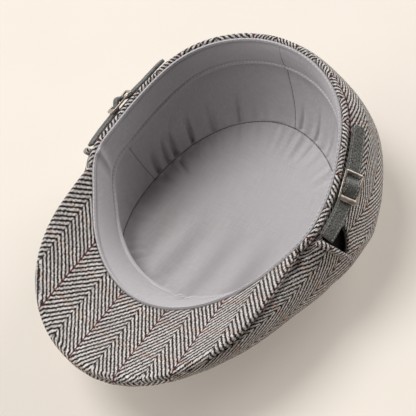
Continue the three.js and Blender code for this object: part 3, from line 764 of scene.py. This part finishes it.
def crown_unevenness(angle, place, points):
    """How far the soft crown swells or dips from its fair form."""
    folded = fold_angle(angle)
    slack = smooth(place, 0.08, 0.5) * (1 - smooth(place, 1.7, 1.95))
    swell = SWELL["height"] * soft_noise(angle / SWELL["angle"], place / SWELL["place"], seed=5)
    sway = RIPPLE["sway"] * soft_noise(angle / RIPPLE["angle"], place, seed=8)
    ripple = (RIPPLE["height"] * np.sin(points[..., 0] * RIPPLE["pitch"] + sway)
              * (1 - smooth(folded, 42, 60)) * smooth(place, 0.2, 0.5))
    tuck = (RIM_TUCK["depth"] * (1 - smooth(folded, 68, 78)) * smooth(folded, 12, 30)
            * hump(place, RIM_TUCK["place"], RIM_TUCK["width"]) * smooth(place, 0, 0.02))
    hollow_angle = VENT_FOOT + VENT_HOLLOW["lean"] * (place - VENT_HOLLOW["lean_from"])
    below_vent = (VENT_HOLLOW["depth"] * hump(folded, hollow_angle, VENT_HOLLOW["width"])
                  * hump(place, VENT_HOLLOW["place"], VENT_HOLLOW["height"]))
    top_seam = TOP_SEAM["depth"] * hump(place, TOP_SEAM["place"], TOP_SEAM["width"])
    upright = (place < TOP_SEAM["place"]) * smooth(place, 0, 0.1)
    seams = (BACK_SEAM["depth"] * hump(180 - folded, 0, BACK_SEAM["width"])
             + PANEL_SEAM["depth"] * hump(folded, FRONT_PANEL["angle"], PANEL_SEAM["width"]))
    return slack * (swell + below_vent) + ripple - tuck - top_seam - seams * upright


def vent_edge(table, place):
    rows = [VENT_TOP] + table
    return np.interp(place, column(rows, "place"), column(rows, "angle"))


crown_places = np.concatenate([
    np.linspace(0, 1, 40, endpoint=False),
    np.linspace(1, 1.27, 12, endpoint=False),
    np.linspace(1.27, 1.33, 9, endpoint=False),
    np.linspace(1.33, 2, 26),
])


def crown_part(name, angles, behind_vents):
    """The crown's outer face ahead of the vents or behind them, its ends along their edges."""
    place, angle = np.meshgrid(crown_places, angles, indexing="ij")
    folded, side = fold_angle(angle), np.where((angle % 360) < 180, 1, -1)
    table = VENT_REAR if behind_vents else VENT_FRONT
    reach = VENT_BEND["behind" if behind_vents else "ahead"]
    near = 1 - smooth(np.abs(folded - VENT_FOOT), 0, reach)
    angle = angle + side * near * (vent_edge(table, place) - VENT_FOOT)
    fair = crown_face(angle, place)
    points = on_crown(angle, place, crown_unevenness(angle, place, fair))
    weave = crown_weave(angle, place, running_length(fair, 0), settle(fair))
    points = settle(points, between_folds(angle, place))
    points[-1] = points[-1].mean(0)
    return grid_mesh(name, points, weave)


panel_edge = FRONT_PANEL["angle"]
front_half = np.concatenate([np.linspace(0, panel_edge - 1, 22, endpoint=False),
                             np.linspace(panel_edge - 1, panel_edge + 1, 17, endpoint=False),
                             np.linspace(panel_edge + 1, VENT_FOOT, 52)])
front_angles = np.concatenate([-front_half[:0:-1], front_half])
back_angles = np.concatenate([np.linspace(VENT_FOOT, 178, 90, endpoint=False),
                              np.linspace(178, 182, 17, endpoint=False),
                              np.linspace(182, 360 - VENT_FOOT, 91)])
crown_mesh = join_meshes("crown_cloth", [crown_part("ahead", front_angles, False),
                                         crown_part("behind", back_angles, True)])
crown_cloth = into_object("crown_cloth", crown_mesh, side_tweed, ["crown"])
thicken(crown_cloth, WALL["tweed"])

# The peak: a stiff blade covered above and below, its cover turned and sewn round the rim.
peak_angles = np.linspace(-PEAK["last_section"], PEAK["last_section"], 190)
edge_turns = np.linspace(0, math.pi, 18)
# Its rim's seam, by the turn round the rim: a raised lip beside a sunk line of stitches.
RIM_LIP = {"turn": 2.3, "height": 0.5, "width": 0.16}
RIM_GROOVE = {"turn": 1.95, "depth": 0.45, "width": 0.12}


def peak_section(angle):
    _, _, reach = peak_frame(angle)
    half = PEAK["thickness"] / 2
    flat = reach - min(half, reach / 3)
    seam = (RIM_LIP["height"] * hump(edge_turns, RIM_LIP["turn"], RIM_LIP["width"])
            - RIM_GROOVE["depth"] * hump(edge_turns, RIM_GROOVE["turn"], RIM_GROOVE["width"]))
    around = np.stack([flat + (half + seam) * np.sin(edge_turns) * (reach - flat) / half,
                       -half + (half + seam) * np.cos(edge_turns)], -1)
    across = np.linspace(0, 1, 34)[:-1]
    top = np.stack([GAP + (flat - GAP) * across, 0 * across], -1)
    under = np.stack([flat + (GAP - flat) * np.linspace(0, 1, 20)[1:],
                      0 * np.linspace(0, 1, 19) - PEAK["thickness"]], -1)
    return np.concatenate([top, around, under]), flat


def peak_cover_points():
    rows, weaves = [], []
    for angle in peak_angles:
        section, flat = peak_section(angle)
        at = np.full(len(section), angle)
        inner = 1 - smooth(section[:, 0], flat - PEAK_UNEVEN["full"], flat - PEAK_UNEVEN["plain_edge"])
        swells = soft_noise(at / PEAK_UNEVEN["apart"], section[:, 0] / PEAK_UNEVEN["apart"], seed=12)
        uneven = PEAK_UNEVEN["height"] * swells * (section[:, 1] > -1) * inner
        points = peak_point(at, section[:, 0], section[:, 1] + uneven)
        away, _, _ = peak_frame(angle)
        arc = running_length(section, 0)
        past = np.maximum(arc - (flat - GAP), 0)
        spot = peak_point(at, np.minimum(arc + GAP, flat), 0 * arc)
        bow = PEAK_BOW["most"] * (1 - (spot[:, 0] / PEAK_BOW["half_width"]) ** 2)
        level = unit(away[:2])
        u = spot[:, 0] - bow + past * level[0]
        skew = PEAK_SKEW["climb"] * u - PEAK_SKEW["fall"] * u**2
        u = u / TWEED["column"]
        v = (-spot[:, 1] * PEAK_SKEW["tightness"] - past * level[1] - skew) / TWEED["float"]
        rows.append(points)
        weaves.append(np.stack([u, v], -1))
    weave = np.array(weaves)
    return np.array(rows), np.concatenate([weave, weave[:, :1]], 1)


peak_points, peak_weave = peak_cover_points()
peak_mesh = grid_mesh("peak_cover", settle(peak_points)[:, ::-1], peak_weave[:, ::-1],
                      closed=(False, True), caps=True)
into_object("peak_cover", peak_mesh, peak_tweed, ["peak"])

# The hem: the crown's cloth rolled over the mouth's edge.
hem_angles = np.linspace(HEM["start_angle"], 360 - HEM["start_angle"], 420)
hem_section = oval_section(HEM["half_width"], HEM["half_height"], 20)
hem_middle = mouth(hem_angles) + outward(hem_angles) * HEM["out"] - UP * HEM["down"]
hem_swells = HEM_UNEVEN["height"] * soft_noise(hem_angles / HEM_UNEVEN["angle"], 0 * hem_angles, seed=2)
hem_middle += times(hem_swells, outward(hem_angles))
hem_up = np.broadcast_to(UP, hem_middle.shape)
hem_points = sweep_points(hem_middle, outward(hem_angles), hem_up, hem_section)
hem_borders = np.interp(hem_angles, column(HEM_BORDERS, "angle"), column(HEM_BORDERS, "column"))
hem_round = np.append(running_length(hem_section, 0), math.pi * (HEM["half_width"] + HEM["half_height"]))
hem_weave = np.stack(np.broadcast_arrays(hem_borders[:, None], hem_round[None] / TWEED["float"]), -1)
swept_piece("hem_roll", hem_points, hem_tweed, ["hem"], hem_weave)


def vent_roll(word, side):
    """The padded front edge of the vent, where the front of the crown is turned back."""
    t = np.linspace(0, 1, 60)
    angle = side * mix(ROLL["from_angle"], ROLL["to_angle"], t)
    place = mix(ROLL["from_place"], ROLL["to_place"], t)
    radius = ROLL["radius"] * (1 - ROLL["taper"] * t**3) * (1 - ROLL["tip"] * (1 - smooth(t, 0, 0.05)))
    facing = crown_facing(angle, place)
    across = unit(crown_face(angle + STEP["angle"], place) - crown_face(angle - STEP["angle"], place))
    height = radius * ROLL["flatness"]
    middles = on_crown(angle, place, height + GAP + ROLL["uneven"] * soft_noise(t * 9, 0 * t, seed=4))
    turn = np.linspace(0, math.tau, 22, endpoint=False)
    section = np.stack([radius[:, None] * np.cos(turn), height[:, None] * np.sin(turn)], -1)
    points = sweep_points(middles, across, facing, section)
    along = running_length(middles, 0)[:, None] / END_COLUMN
    round_it = np.append(turn, math.tau)[None] * ROLL["radius"] / END_FLOAT
    weave = np.stack(np.broadcast_arrays(along + ROLL["column"], round_it), -1)
    swept_piece(f"vent_fold_{word}", points, side_tweed, [f"vent_roll_{word}"], weave, side < 0)


# ---------------------------------------------------------------- sweatband and lining

# The sweatband's inner face from its rolled top edge down, in millimetres.
BAND_FACE = [
    {"down": 0, "high": 0.15},
    {"down": 0.3, "high": 0.55},
    {"down": 0.9, "high": 0.95},
    {"down": 1.7, "high": 1.0},
    {"down": 2.1, "high": 0.7},
    {"down": 2.35, "high": 0.0},
    {"down": 2.7, "high": 0.0},
    {"down": 3.1, "high": 0.6},
    {"down": 4.5, "high": 1.15},
    {"down": 8, "high": 1.7},
    {"down": 13, "high": 1.8},
    {"down": 17.5, "high": 1.35},
    {"down": 20.3, "high": 0.85},
    {"down": 21.2, "high": 0.15},
    {"down": 21.9, "high": 0.7},
    {"down": 22.7, "high": 1.5},
    {"down": 23.6, "high": 1.55},
    {"down": 24.5, "high": 1.0},
    {"down": 25, "high": 0.2},
]
# A crease at the left temple and a wrinkle over the peak: a ridge between two furrows.
CREASE = [
    {"from_ridge": 0, "height": 1, "width": 1.3},
    {"from_ridge": 3.6, "height": -0.45, "width": 2},
    {"from_ridge": -3.8, "height": -0.225, "width": 2.2},
]
WRINKLE = [
    {"from_ridge": 0, "height": 1.7, "width": 2.2},
    {"from_ridge": 4.2, "height": -0.8, "width": 1.6},
    {"from_ridge": -4.4, "height": -0.48, "width": 2},
]
CREASE_LINE = {"angle": -80.2, "slant": 6.2}
WRINKLE_LINE = {"angle": 4, "slant": 9}
BAND_SEAM = {"angle": 179.8, "slant": 0.6, "depth": 0.3, "width": 0.25}
# How far the band's rolled top stands above the mouth, and how far it swells against the hem.
BAND_ROLL = {"rise": 0.7, "swell": 0.6}
BAND_THINNEST = 0.4
BAND_PUFF = {"height": 0.35, "angle": 7, "part": 0.4}
# Soft folds lie lengthwise over the front of the lining.
LINING_FOLDS = {"apart": 27, "height": 2.0}
# How high the lining's gathers and billows stand, and how deep its seams sink.
GATHERS = {"side": 0.75, "top": 0.8, "tuck_share": 0.4}
BILLOWS = {"side": 1.2, "top": 1.1}
UPRIGHT_SEAM = {"depth": 0.7, "width": 0.32}
SEAM_SUNK = 0.2
SEAM_THREAD = {"half_width": 0.22, "half_height": 0.3, "sides": 8}
TOP_SEAM_THREAD = {"half_width": 0.2, "half_height": 0.26}
# The lining's foot is tucked up behind the sweatband, and its top keeps clear of the crown's folds.
FOOT_TUCK = {"rise": 3, "behind": 0.5}
LINING_CLEAR = 2.2
LINING_TOP_EDGE = 0.006
LINING_SEAMS = [
    {"top": 90, "foot": 97},
    {"top": 180, "foot": 175},
    {"top": 270, "foot": 263},
]
# Tucks where the lining's side was eased onto its oval top.
TUCKS = [
    {"angle": -124.5, "depth": 5.4, "width": 1.1},
    {"angle": -113.8, "depth": 5.8, "width": 1.4},
    {"angle": -108.2, "depth": 4.1, "width": 1.1},
    {"angle": -101.5, "depth": 4.9, "width": 1.4},
    {"angle": -137, "depth": 2.7, "width": 1.6},
    {"angle": -152, "depth": 3.2, "width": 1.4},
    {"angle": 170.8, "depth": 1.4, "width": 1.1},
    {"angle": 159.5, "depth": 1.6, "width": 1.1},
    {"angle": 147.5, "depth": 1.4, "width": 1.3},
    {"angle": 136, "depth": 1.2, "width": 1.4},
]

band_angles = np.linspace(0, 360, 720, endpoint=False)
band_down = np.concatenate([np.linspace(0, 3.4, 18), np.linspace(3.8, 20, 18), np.linspace(20.5, 25, 22)])


def creased(from_ridge, rows):
    return sum(row["height"] * hump(from_ridge, row["from_ridge"], row["width"]) for row in rows)


def band_high(angle, down):
    """How far the band's inner face stands off its middle."""
    signed = (angle + 180) % 360 - 180
    part = down / BAND["height"]
    high = np.interp(down, column(BAND_FACE, "down"), column(BAND_FACE, "high"))
    from_crease = signed - CREASE_LINE["angle"] - CREASE_LINE["slant"] * part
    from_wrinkle = signed - WRINKLE_LINE["angle"] - WRINKLE_LINE["slant"] * part
    high = high + creased(from_crease, CREASE) * (1 - smooth(part, 0.45, 0.9))
    high = high + creased(from_wrinkle, WRINKLE) * smooth(part, 0.45, 0.85)
    from_seam = signed - np.sign(signed) * BAND_SEAM["angle"]
    high = high - BAND_SEAM["depth"] * hump(from_seam, 0, BAND_SEAM["width"])
    plain = smooth(part, 0.1, 0.25) * (1 - smooth(part, 0.8, 0.88))
    puffs = soft_noise(angle / BAND_PUFF["angle"], part / BAND_PUFF["part"], seed=21)
    return high + plain * BAND_PUFF["height"] * puffs


def on_band(angle, down, height):
    """A point of the band, by millimetres down from its rolled top."""
    part = down / BAND["height"]
    return band_point(angle, part - BAND_ROLL["rise"] / BAND["height"] * (1 - part), height)


angle, down = np.meshgrid(band_angles, band_down, indexing="ij")
band_front = on_band(angle, down, band_high(angle, down))
# Its rolled top edge is plump on the outside too, and rests against the hem.
roll_out = BAND_ROLL["swell"] * (1 - smooth(down, 1.2, 3.2)) * smooth(down, -0.3, 0.5)
band_thin = np.minimum(-WALL["band"] / 2, band_high(angle, down) - BAND_THINNEST)
band_back = on_band(angle, down, band_thin - roll_out)
band_loop = np.concatenate([band_front, band_back[:, ::-1]], 1)
band_mesh = grid_mesh("sweatband_cloth", settle(band_loop), closed=(True, True))
into_object("sweatband_cloth", band_mesh, band_cotton, ["sweatband"])


def band_stitches(name, down, spacing, length, radius, slant):
    count = round(rim_length[-1] * 2 / spacing)
    at = (np.arange(count) + 0.5) * 360 / count
    lift = band_high(at, np.full(count, down)) + radius / 2
    middles = settle(on_band(at, down, lift))
    ahead = settle(on_band(at + STEP["angle"], down, lift))
    over = settle(on_band(at, down, lift + 1))
    stitch_row(name, middles, ahead - middles, over - middles, length, radius, thread_cotton,
               slant)


band_stitches("band_top_stitches", down=-0.2, spacing=2.9, length=1.9, radius=0.32, slant=0.0)
band_stitches("band_edge_stitches", down=22.0, spacing=3.0, length=2.2, radius=0.34, slant=0.35)


def lining_side_point(angle, t):
    half = WALL["lining"] / 2
    edge = band_point(angle, 1 + 0 * t, -WALL["band"] / 2 - GAP - half + 0 * t)
    seam, out = unsettle(lining_seam(angle)), outward(angle)
    bend = (edge + seam) / 2 + LINING_BILLOW * out
    return times((1 - t) ** 2, edge) + times(2 * t * (1 - t), bend) + times(t**2, seam)


def tuck_depth(angle):
    signed = (angle + 180) % 360 - 180
    return sum(row["depth"] * hump(signed, row["angle"], row["width"]) for row in TUCKS)


def lining_fold(across):
    return LINING_FOLDS["height"] * np.cos(math.tau * across / LINING_FOLDS["apart"])


def lining_side_offset(angle, t):
    """Gathers at the foot, soft billows above, and the three side seams."""
    gathers = (GATHERS["side"] * soft_noise(angle / 1.3, t * 0.6, seed=31) * smooth(t, 0.62, 0.95)
               - tuck_depth(angle) * smooth(t, 0.4, 0.93)) * (1 - smooth(t, 0.975, 1))
    billows = (BILLOWS["side"] * soft_noise(angle / 14, t * 2.5, seed=33)
               * smooth(t, 0, 0.3) * (1 - smooth(t, 0.8, 1)))
    across = LINING_OVAL["half_width"] * np.sin(np.radians(angle))
    folds = (lining_fold(across) * (1 - smooth(fold_angle(angle), 30, 60))
             * smooth(t, 0.1, 0.6) * (1 - smooth(t, 0.85, 1)))
    seams = sum(UPRIGHT_SEAM["depth"] * hump(angle % 360, mix(row["top"], row["foot"], t),
                                             UPRIGHT_SEAM["width"]) for row in LINING_SEAMS)
    return gathers + billows + folds - seams - SEAM_SUNK * smooth(t, 0.97, 1)


lining_angles = np.linspace(0, 360, 900, endpoint=False)
lining_parts = np.concatenate([[-0.12, -0.05], np.linspace(0, 0.94, 30), np.linspace(0.95, 1, 8)])
angle, t = np.meshgrid(lining_angles, lining_parts, indexing="ij")
side_points = lining_side_point(angle, t)
tucked = (t < 0)
tuck_depths = np.where(tucked, 1 + FOOT_TUCK["rise"] * t, 1)
behind_band = band_point(angle, tuck_depths, 0 * t - WALL["band"] / 2 - GAP - FOOT_TUCK["behind"])
side_points = np.where(tucked[..., None], behind_band, side_points)
side_square = unit(np.cross(np.gradient(side_points, axis=1), np.gradient(side_points, axis=0)))
side_inward = np.where((np.sum(side_square * outward(angle), -1) > 0)[..., None], -side_square, side_square)
side_points = side_points + times(np.where(tucked, 0, lining_side_offset(angle, t)), side_inward)
side_mesh = grid_mesh("lining_side_cloth", settle(side_points), closed=(True, False))
into_object("lining_side_cloth", side_mesh, lining_cotton, ["lining_side"])

top_angles = np.linspace(0, 360, 720, endpoint=False)
top_parts = np.concatenate([np.linspace(0, 0.02, 5), np.linspace(0.03, 0.3, 22), np.linspace(0.33, 1, 24)])
angle, part = np.meshgrid(top_angles, top_parts, indexing="ij")
seam = lining_seam(angle)
middle = np.array([0, LINING_OVAL["middle_y"], 0.0])
inset = mix(LINING_TOP_EDGE, 1, part)
top_points = seam + (middle - seam) * inset[..., None]
low = LINING_OVAL["lowest"] + WALL["lining"] / 2
near_seam = smooth(part, 0, 0.03) * (1 - smooth(part, 0.04, 0.3))
puckers = (GATHERS["top"] * soft_noise(angle / 1.4, part * 3, seed=41)
           - GATHERS["tuck_share"] * tuck_depth(angle))
swells = BILLOWS["top"] * soft_noise(top_points[..., 0] / 17, top_points[..., 1] / 17, seed=43)
front_folds = lining_fold(top_points[..., 0]) * (1 - smooth(top_points[..., 1], -45, 25))
top_points[..., 2] = (low + (seam[..., 2] - low) * (1 - part) ** LINING_OVAL["sag"]
                      - SEAM_SUNK * (1 - smooth(part, 0, 0.02)) + front_folds * smooth(part, 0.04, 0.3)
                      + puckers * near_seam + swells * smooth(part, 0.05, 0.35))
top_points[..., 2] = np.maximum(top_points[..., 2], LINING_CLEAR + FOLDS["rise"])
top_points[:, -1] = top_points[:, -1].mean(0)
top_mesh = grid_mesh("lining_top_cloth", top_points, closed=(True, False))
into_object("lining_top_cloth", top_mesh, lining_cotton, ["lining_top"])

# The seam between side and top shows as one dark line: a sunk sewing thread, coloured dark grey as painted
# shade of the seam's groove.
seam_angles = np.linspace(0, 360, 720, endpoint=False)
seam_turn = np.radians(seam_angles)
seam_middle = lining_seam(seam_angles) - SEAM_SUNK * UP
seam_out = np.stack([np.sin(seam_turn), -np.cos(seam_turn), 0 * seam_turn], -1)
seam_section = oval_section(TOP_SEAM_THREAD["half_width"], TOP_SEAM_THREAD["half_height"],
                            SEAM_THREAD["sides"])
seam_up = np.broadcast_to(UP, seam_middle.shape)
seam_points = sweep_points(seam_middle, seam_out, seam_up, seam_section)
seam_mesh = grid_mesh("lining_seam_thread", seam_points, closed=(True, True))
into_object("lining_seam_thread", seam_mesh, seam_shade_thread)


def upright_seam(name, middles, across, inward):
    """A thread sunk between the two edges of an upright seam, coloured dark grey as painted shade of its
    groove.
    """
    section = oval_section(SEAM_THREAD["half_width"], SEAM_THREAD["half_height"], SEAM_THREAD["sides"])
    swept_piece(name, sweep_points(middles, across, inward, section), seam_shade_thread)


for word, row in zip(("right", "back", "left"), LINING_SEAMS):
    t = np.linspace(0.01, 0.98, 60)
    angle = mix(row["top"], row["foot"], t)
    middles = lining_side_point(angle, t)
    across = unit(lining_side_point(angle + 1, t) - middles)
    inward = unit(np.cross(across, np.gradient(middles, axis=0)))
    inward = np.where((np.sum(inward * outward(angle), -1) > 0)[:, None], -inward, inward)
    sunk = lining_side_offset(angle, t) + WALL["lining"] / 2 - SEAM_THREAD["half_height"]
    upright_seam(f"lining_{word}_seam", middles + times(sunk, inward), across, inward)

# Where the sweatband's two ends are sewn together, at the back, with a sunk thread coloured as painted shade.
down = np.linspace(0.8, 24.2, 60)
angle = BAND_SEAM["angle"] - BAND_SEAM["slant"] * down / BAND["height"]
middles = on_band(angle, down, band_high(angle, down) - 0.1)
inward = unit(on_band(angle, down, band_high(angle, down) + 1) - middles)
_, across, inward = path_frames(middles, inward)
upright_seam("band_back_seam", middles, across, inward)

# ---------------------------------------------------------------- straps, slides and vents

# The strap's rounded edge, and the groove that its stitches pull in beside a low welt.
STRAP_EDGE = {"round": 0.8, "groove_at": 1.35, "groove": 0.28, "welt_at": 0.7, "welt": 0.08, "width": 0.3}
STRAP_UNEVEN = 0.12
STRAP_STITCH = {"first": 1.2, "last": 1.5, "apart": 2.3, "length": 1.7, "radius": 0.24, "sunk": 0.06}
# How much larger the slide is stamped than its plain solid, and how its edges are rounded.
SLIDE_LOOK = {"length": 1.12, "front_bar": 1.4, "rail": 1.15, "window_corner": 0.35}
SLIDE_EDGE = {"across": 0.45, "high": 0.6}
SLIDE_BAR = {"into_rail": 0.6, "thickness": 0.8, "corner": 0.35}
# The vent's tape along its rear edge, and the pocket of cloth that lies behind it.
TAPE = {"from": 0.06, "to": 0.74, "behind_edge": 0.5, "sunk": 0.9, "half_width": 0.85, "half_height": 0.75}
POCKET = {"from_place": 0.04, "to_place": 0.86, "from_angle": 77.5, "to_angle": 94, "sunk": 1.4,
          "sag": 0.4, "thickness": 0.6}


def strap_lift(angle):
    over_bar = (STRAP["over_bar"] - STRAP["lift"]) * hump(angle, BUCKLE["angle"], STRAP["over_bar_spread"])
    free = STRAP["free_lift"] * smooth(angle, STRAP["free_from"], STRAP["to"])
    return STRAP["lift"] + over_bar + free


def strap(word, side):
    """The felt strap, stitched along both edges, humped where it passes over the slide's bar."""
    angle = np.concatenate([np.linspace(STRAP["from"], 95, 26, endpoint=False),
                            np.linspace(95, 109, 60, endpoint=False),
                            np.linspace(109, STRAP["to"], 40)])
    place = np.full(len(angle), STRAP["place"])
    facing = crown_facing(side * angle, place)
    middles = on_crown(side * angle, place, strap_lift(angle))
    _, across, facing = path_frames(middles, facing)
    half = STRAP["width"] / 2 - STRAP["corner"] * smooth(angle, STRAP["to"] - 1.6, STRAP["to"])
    across_part = np.concatenate([np.linspace(-1, 1, 25), np.linspace(1, -1, 25)[1:-1]])
    upper = np.concatenate([np.ones(25), -np.ones(23)])
    from_edge = STRAP["width"] / 2 * (1 - np.abs(across_part))
    thick = STRAP["thickness"] / 2 * np.sqrt(1 - (1 - np.minimum(from_edge / STRAP_EDGE["round"], 1)) ** 2)
    thick = (thick - STRAP_EDGE["groove"] * hump(from_edge, STRAP_EDGE["groove_at"], STRAP_EDGE["width"])
             + STRAP_EDGE["welt"] * hump(from_edge, STRAP_EDGE["welt_at"], STRAP_EDGE["width"]))
    section = np.stack(np.broadcast_arrays(half[:, None] * across_part, upper * thick), -1)
    uneven = STRAP_UNEVEN * soft_noise(angle[:, None] * 1.2, across_part[None] * 4, seed=51)
    section = section + np.stack([0 * section[..., 0], uneven], -1)
    points = sweep_points(middles, across, facing, section)
    swept_piece(f"strap_cloth_{word}", points, strap_wool, [f"strap_{word}"], flipped=side < 0)
    length = running_length(middles, 0)
    at = np.arange(STRAP_STITCH["first"], length[-1] - STRAP_STITCH["last"], STRAP_STITCH["apart"])
    for row, sideways in (("upper", 1), ("lower", -1)):
        edge = sideways * (STRAP["width"] / 2 - STRAP_EDGE["groove_at"])
        line = settle(middles + across * edge + facing * (STRAP["thickness"] / 2 - STRAP_STITCH["sunk"]))
        spots = np.stack([np.interp(at, length, line[:, i]) for i in range(3)], -1)
        ways = np.stack([np.interp(at, length, np.gradient(line, axis=0)[:, i]) for i in range(3)], -1)
        tops = settle(middles + facing) - settle(middles)
        ups = np.stack([np.interp(at, length, tops[:, i]) for i in range(3)], -1)
        stitch_row(f"strap_{row}_stitches_{word}", spots, ways, ups, STRAP_STITCH["length"],
                   STRAP_STITCH["radius"], strap_thread)


def slide(word, side):
    """A three-bar slide: a bent wire-edged frame with a broad front bar and a middle bar."""
    at = np.array([BUCKLE["angle"] - 1, BUCKLE["angle"], BUCKLE["angle"] + 1])
    face = settle(crown_face(side * at, np.full(3, STRAP["place"])))
    up = settle(on_crown(side * at, np.full(3, STRAP["place"]), np.ones(3))) - face
    along, facing = unit(face[2] - face[0]), unit(up[1])
    across = unit(np.cross(facing, along))
    facing = np.cross(along, across)
    middle = face[1] + unit(up[1]) * BUCKLE["lift"]
    half_long, half_wide = SLIDE_LOOK["length"] * BUCKLE["length"] / 2, BUCKLE["width"] / 2
    front, rear = SLIDE_LOOK["front_bar"] * BUCKLE["front_bar"], BUCKLE["rear_bar"]
    rail, corner = SLIDE_LOOK["rail"] * BUCKLE["rail"], BUCKLE["corner"]

    def ring(inset_front, inset_rear, inset_rail, radius):
        turn = np.linspace(0, math.pi / 2, 7)
        spots = []
        for quarter, (x, y) in enumerate([(1, 1), (-1, 1), (-1, -1), (1, -1)]):
            end = half_long - (inset_rear if x > 0 else inset_front)
            width = half_wide - inset_rail
            angle = turn + quarter * math.pi / 2
            spots.append(np.stack([x * (end - radius) + radius * np.cos(angle),
                                   y * (width - radius) + radius * np.sin(angle)], -1))
        return np.concatenate(spots)

    outer, inner = ring(0, 0, 0, corner), ring(front, rear, rail, SLIDE_LOOK["window_corner"])
    half = BUCKLE["thickness"] / 2
    around = np.linspace(0, math.tau, 16, endpoint=False)
    inward, upward = np.cos(around), np.sin(around)
    across_share = 0.5 - 0.5 * np.sign(inward) * np.abs(inward) ** SLIDE_EDGE["across"]
    high = half * np.sign(upward) * np.abs(upward) ** SLIDE_EDGE["high"]
    flat = outer[:, None] + (inner - outer)[:, None] * across_share[None, :, None]
    frame_points = np.concatenate([flat, np.broadcast_to(high[None, :, None], flat.shape[:2] + (1,))], -1)
    window = (2 * half_long - front - BUCKLE["middle_bar"] - rear) / 2
    bar_at = -half_long + front + window + BUCKLE["middle_bar"] / 2
    reach = np.linspace(-1, 1, 9) * (half_wide - rail * SLIDE_BAR["into_rail"])
    section = rounded_section(BUCKLE["middle_bar"] / 2, half * SLIDE_BAR["thickness"], SLIDE_BAR["corner"])
    bar = np.stack(np.broadcast_arrays(bar_at + section[None, :, 0], reach[:, None], section[None, :, 1]), -1)
    basis = np.stack([along, across, facing])
    if side < 0:
        frame_points, bar = frame_points[:, ::-1], bar[:, ::-1]
    meshes = [grid_mesh("rim", middle + frame_points @ basis, closed=(True, True)),
              grid_mesh("bar", middle + bar @ basis, closed=(False, True), caps=True)]
    mesh = join_meshes(f"slide_{word}", meshes)
    into_object(f"slide_{word}", mesh, slide_nickel, [f"buckle_{word}"])


def vent_lining(word, side):
    """The satin tape that binds the vent's rear edge, and the black cloth behind the vent."""
    place = np.linspace(TAPE["from"], TAPE["to"], 60)
    angle = side * (vent_edge(VENT_REAR, place) - TAPE["behind_edge"])
    middles = on_crown(angle, place, np.full(60, -TAPE["sunk"]))
    _, across, facing = path_frames(middles, crown_facing(angle, place))
    tape = sweep_points(middles, across, facing, oval_section(TAPE["half_width"], TAPE["half_height"], 12))
    swept_piece(f"vent_tape_{word}", tape, tape_satin, [f"vent_binding_{word}"])
    place, angle = np.meshgrid(np.linspace(POCKET["from_place"], POCKET["to_place"], 24),
                               np.linspace(POCKET["from_angle"], POCKET["to_angle"], 24), indexing="ij")
    sag = POCKET["sag"] * soft_noise(angle / 3, place * 6, seed=61)
    points = on_crown(side * angle, place, -WALL["tweed"] - POCKET["sunk"] + sag)
    points = points if side > 0 else points[:, ::-1]
    mesh = grid_mesh(f"vent_pocket_{word}", settle(points))
    piece = into_object(f"vent_pocket_{word}", mesh, pocket_cloth, [f"vent_gusset_{word}"])
    thicken(piece, POCKET["thickness"])


for word, side in SIDES.items():
    vent_roll(word, side)
    strap(word, side)
    slide(word, side)
    vent_lining(word, side)

# ---------------------------------------------------------------- floor, light and camera


def aimed(thing, place, target, roll=0.0):
    """Stands a lamp or camera at a place, looking at a target, tipped about its line of sight."""
    back = (Vector(place) - Vector(target)).normalized()
    right = Vector((0, 0, 1)).cross(back).normalized()
    up = back.cross(right)
    level = Matrix((right, up, back)).transposed().to_4x4()
    thing.matrix_world = Matrix.Translation(place) @ level @ Matrix.Rotation(roll, 4, "Z")


def from_middle(azimuth, elevation, distance, middle):
    turn, rise = math.radians(azimuth), math.radians(elevation)
    away = Vector((math.sin(turn) * math.cos(rise), -math.cos(turn) * math.cos(rise), math.sin(rise)))
    return Vector(middle) + away * distance


low, high = cad_box
cap_middle = (low + high) / 2
LAMP_DISTANCE = 4.0
FLOOR_REACH = 6.0


def soft_box(name, azimuth, elevation, size, power, colour):
    data = bpy.data.lights.new(name, "AREA")
    data.shape = "DISK"
    data.size = size
    data.energy = power
    data.color = srgb(colour)[:3]
    lamp = bpy.data.objects.new(name, data)
    bpy.context.scene.collection.objects.link(lamp)
    aimed(lamp, from_middle(azimuth, elevation, LAMP_DISTANCE, cap_middle), cap_middle)


soft_box("key soft box", azimuth=-92, elevation=64, size=2.2, power=115, colour="#fffefc")
soft_box("wide soft box", azimuth=-45, elevation=38, size=4.0, power=60, colour="#fffefd")
soft_box("fill soft box", azimuth=163, elevation=25, size=2.8, power=102, colour="#fffefd")

world = bpy.data.worlds.new("studio air")
world.use_nodes = True
world.node_tree.nodes["Background"].inputs["Color"].default_value = srgb("#fbf7f2")
world.node_tree.nodes["Background"].inputs["Strength"].default_value = 0.08
bpy.context.scene.world = world

floor_mesh = bpy.data.meshes.new("studio_floor")
floor_corners = [(x * FLOOR_REACH, y * FLOOR_REACH, FLOOR) for x, y in ((-1, -1), (1, -1), (1, 1), (-1, 1))]
floor_mesh.from_pydata(floor_corners, [], [(0, 1, 2, 3)])
floor_mesh.materials.append(opal_acrylic("opal acrylic table"))
studio_floor = bpy.data.objects.new("studio_floor", floor_mesh)
bpy.context.scene.collection.objects.link(studio_floor)

camera_data = bpy.data.cameras.new("studio camera")
camera_data.lens = 97.95
camera_data.sensor_width = 36
camera_data.clip_start = 0.01
camera = bpy.data.objects.new("studio camera", camera_data)
bpy.context.scene.collection.objects.link(camera)
CAMERA = {"azimuth": 47.2, "elevation": 52.1, "roll": -18.4, "distance": 0.75}
look_at = (cap_middle.x + 6.85 * MM, cap_middle.y - 3.15 * MM, FLOOR + 61.2 * MM)
aimed(camera, from_middle(CAMERA["azimuth"], CAMERA["elevation"], CAMERA["distance"], look_at),
      look_at, math.radians(CAMERA["roll"]))
bpy.context.scene.camera = camera
bpy.context.scene.view_settings.view_transform = "Standard"

bpy.context.view_layer.update()
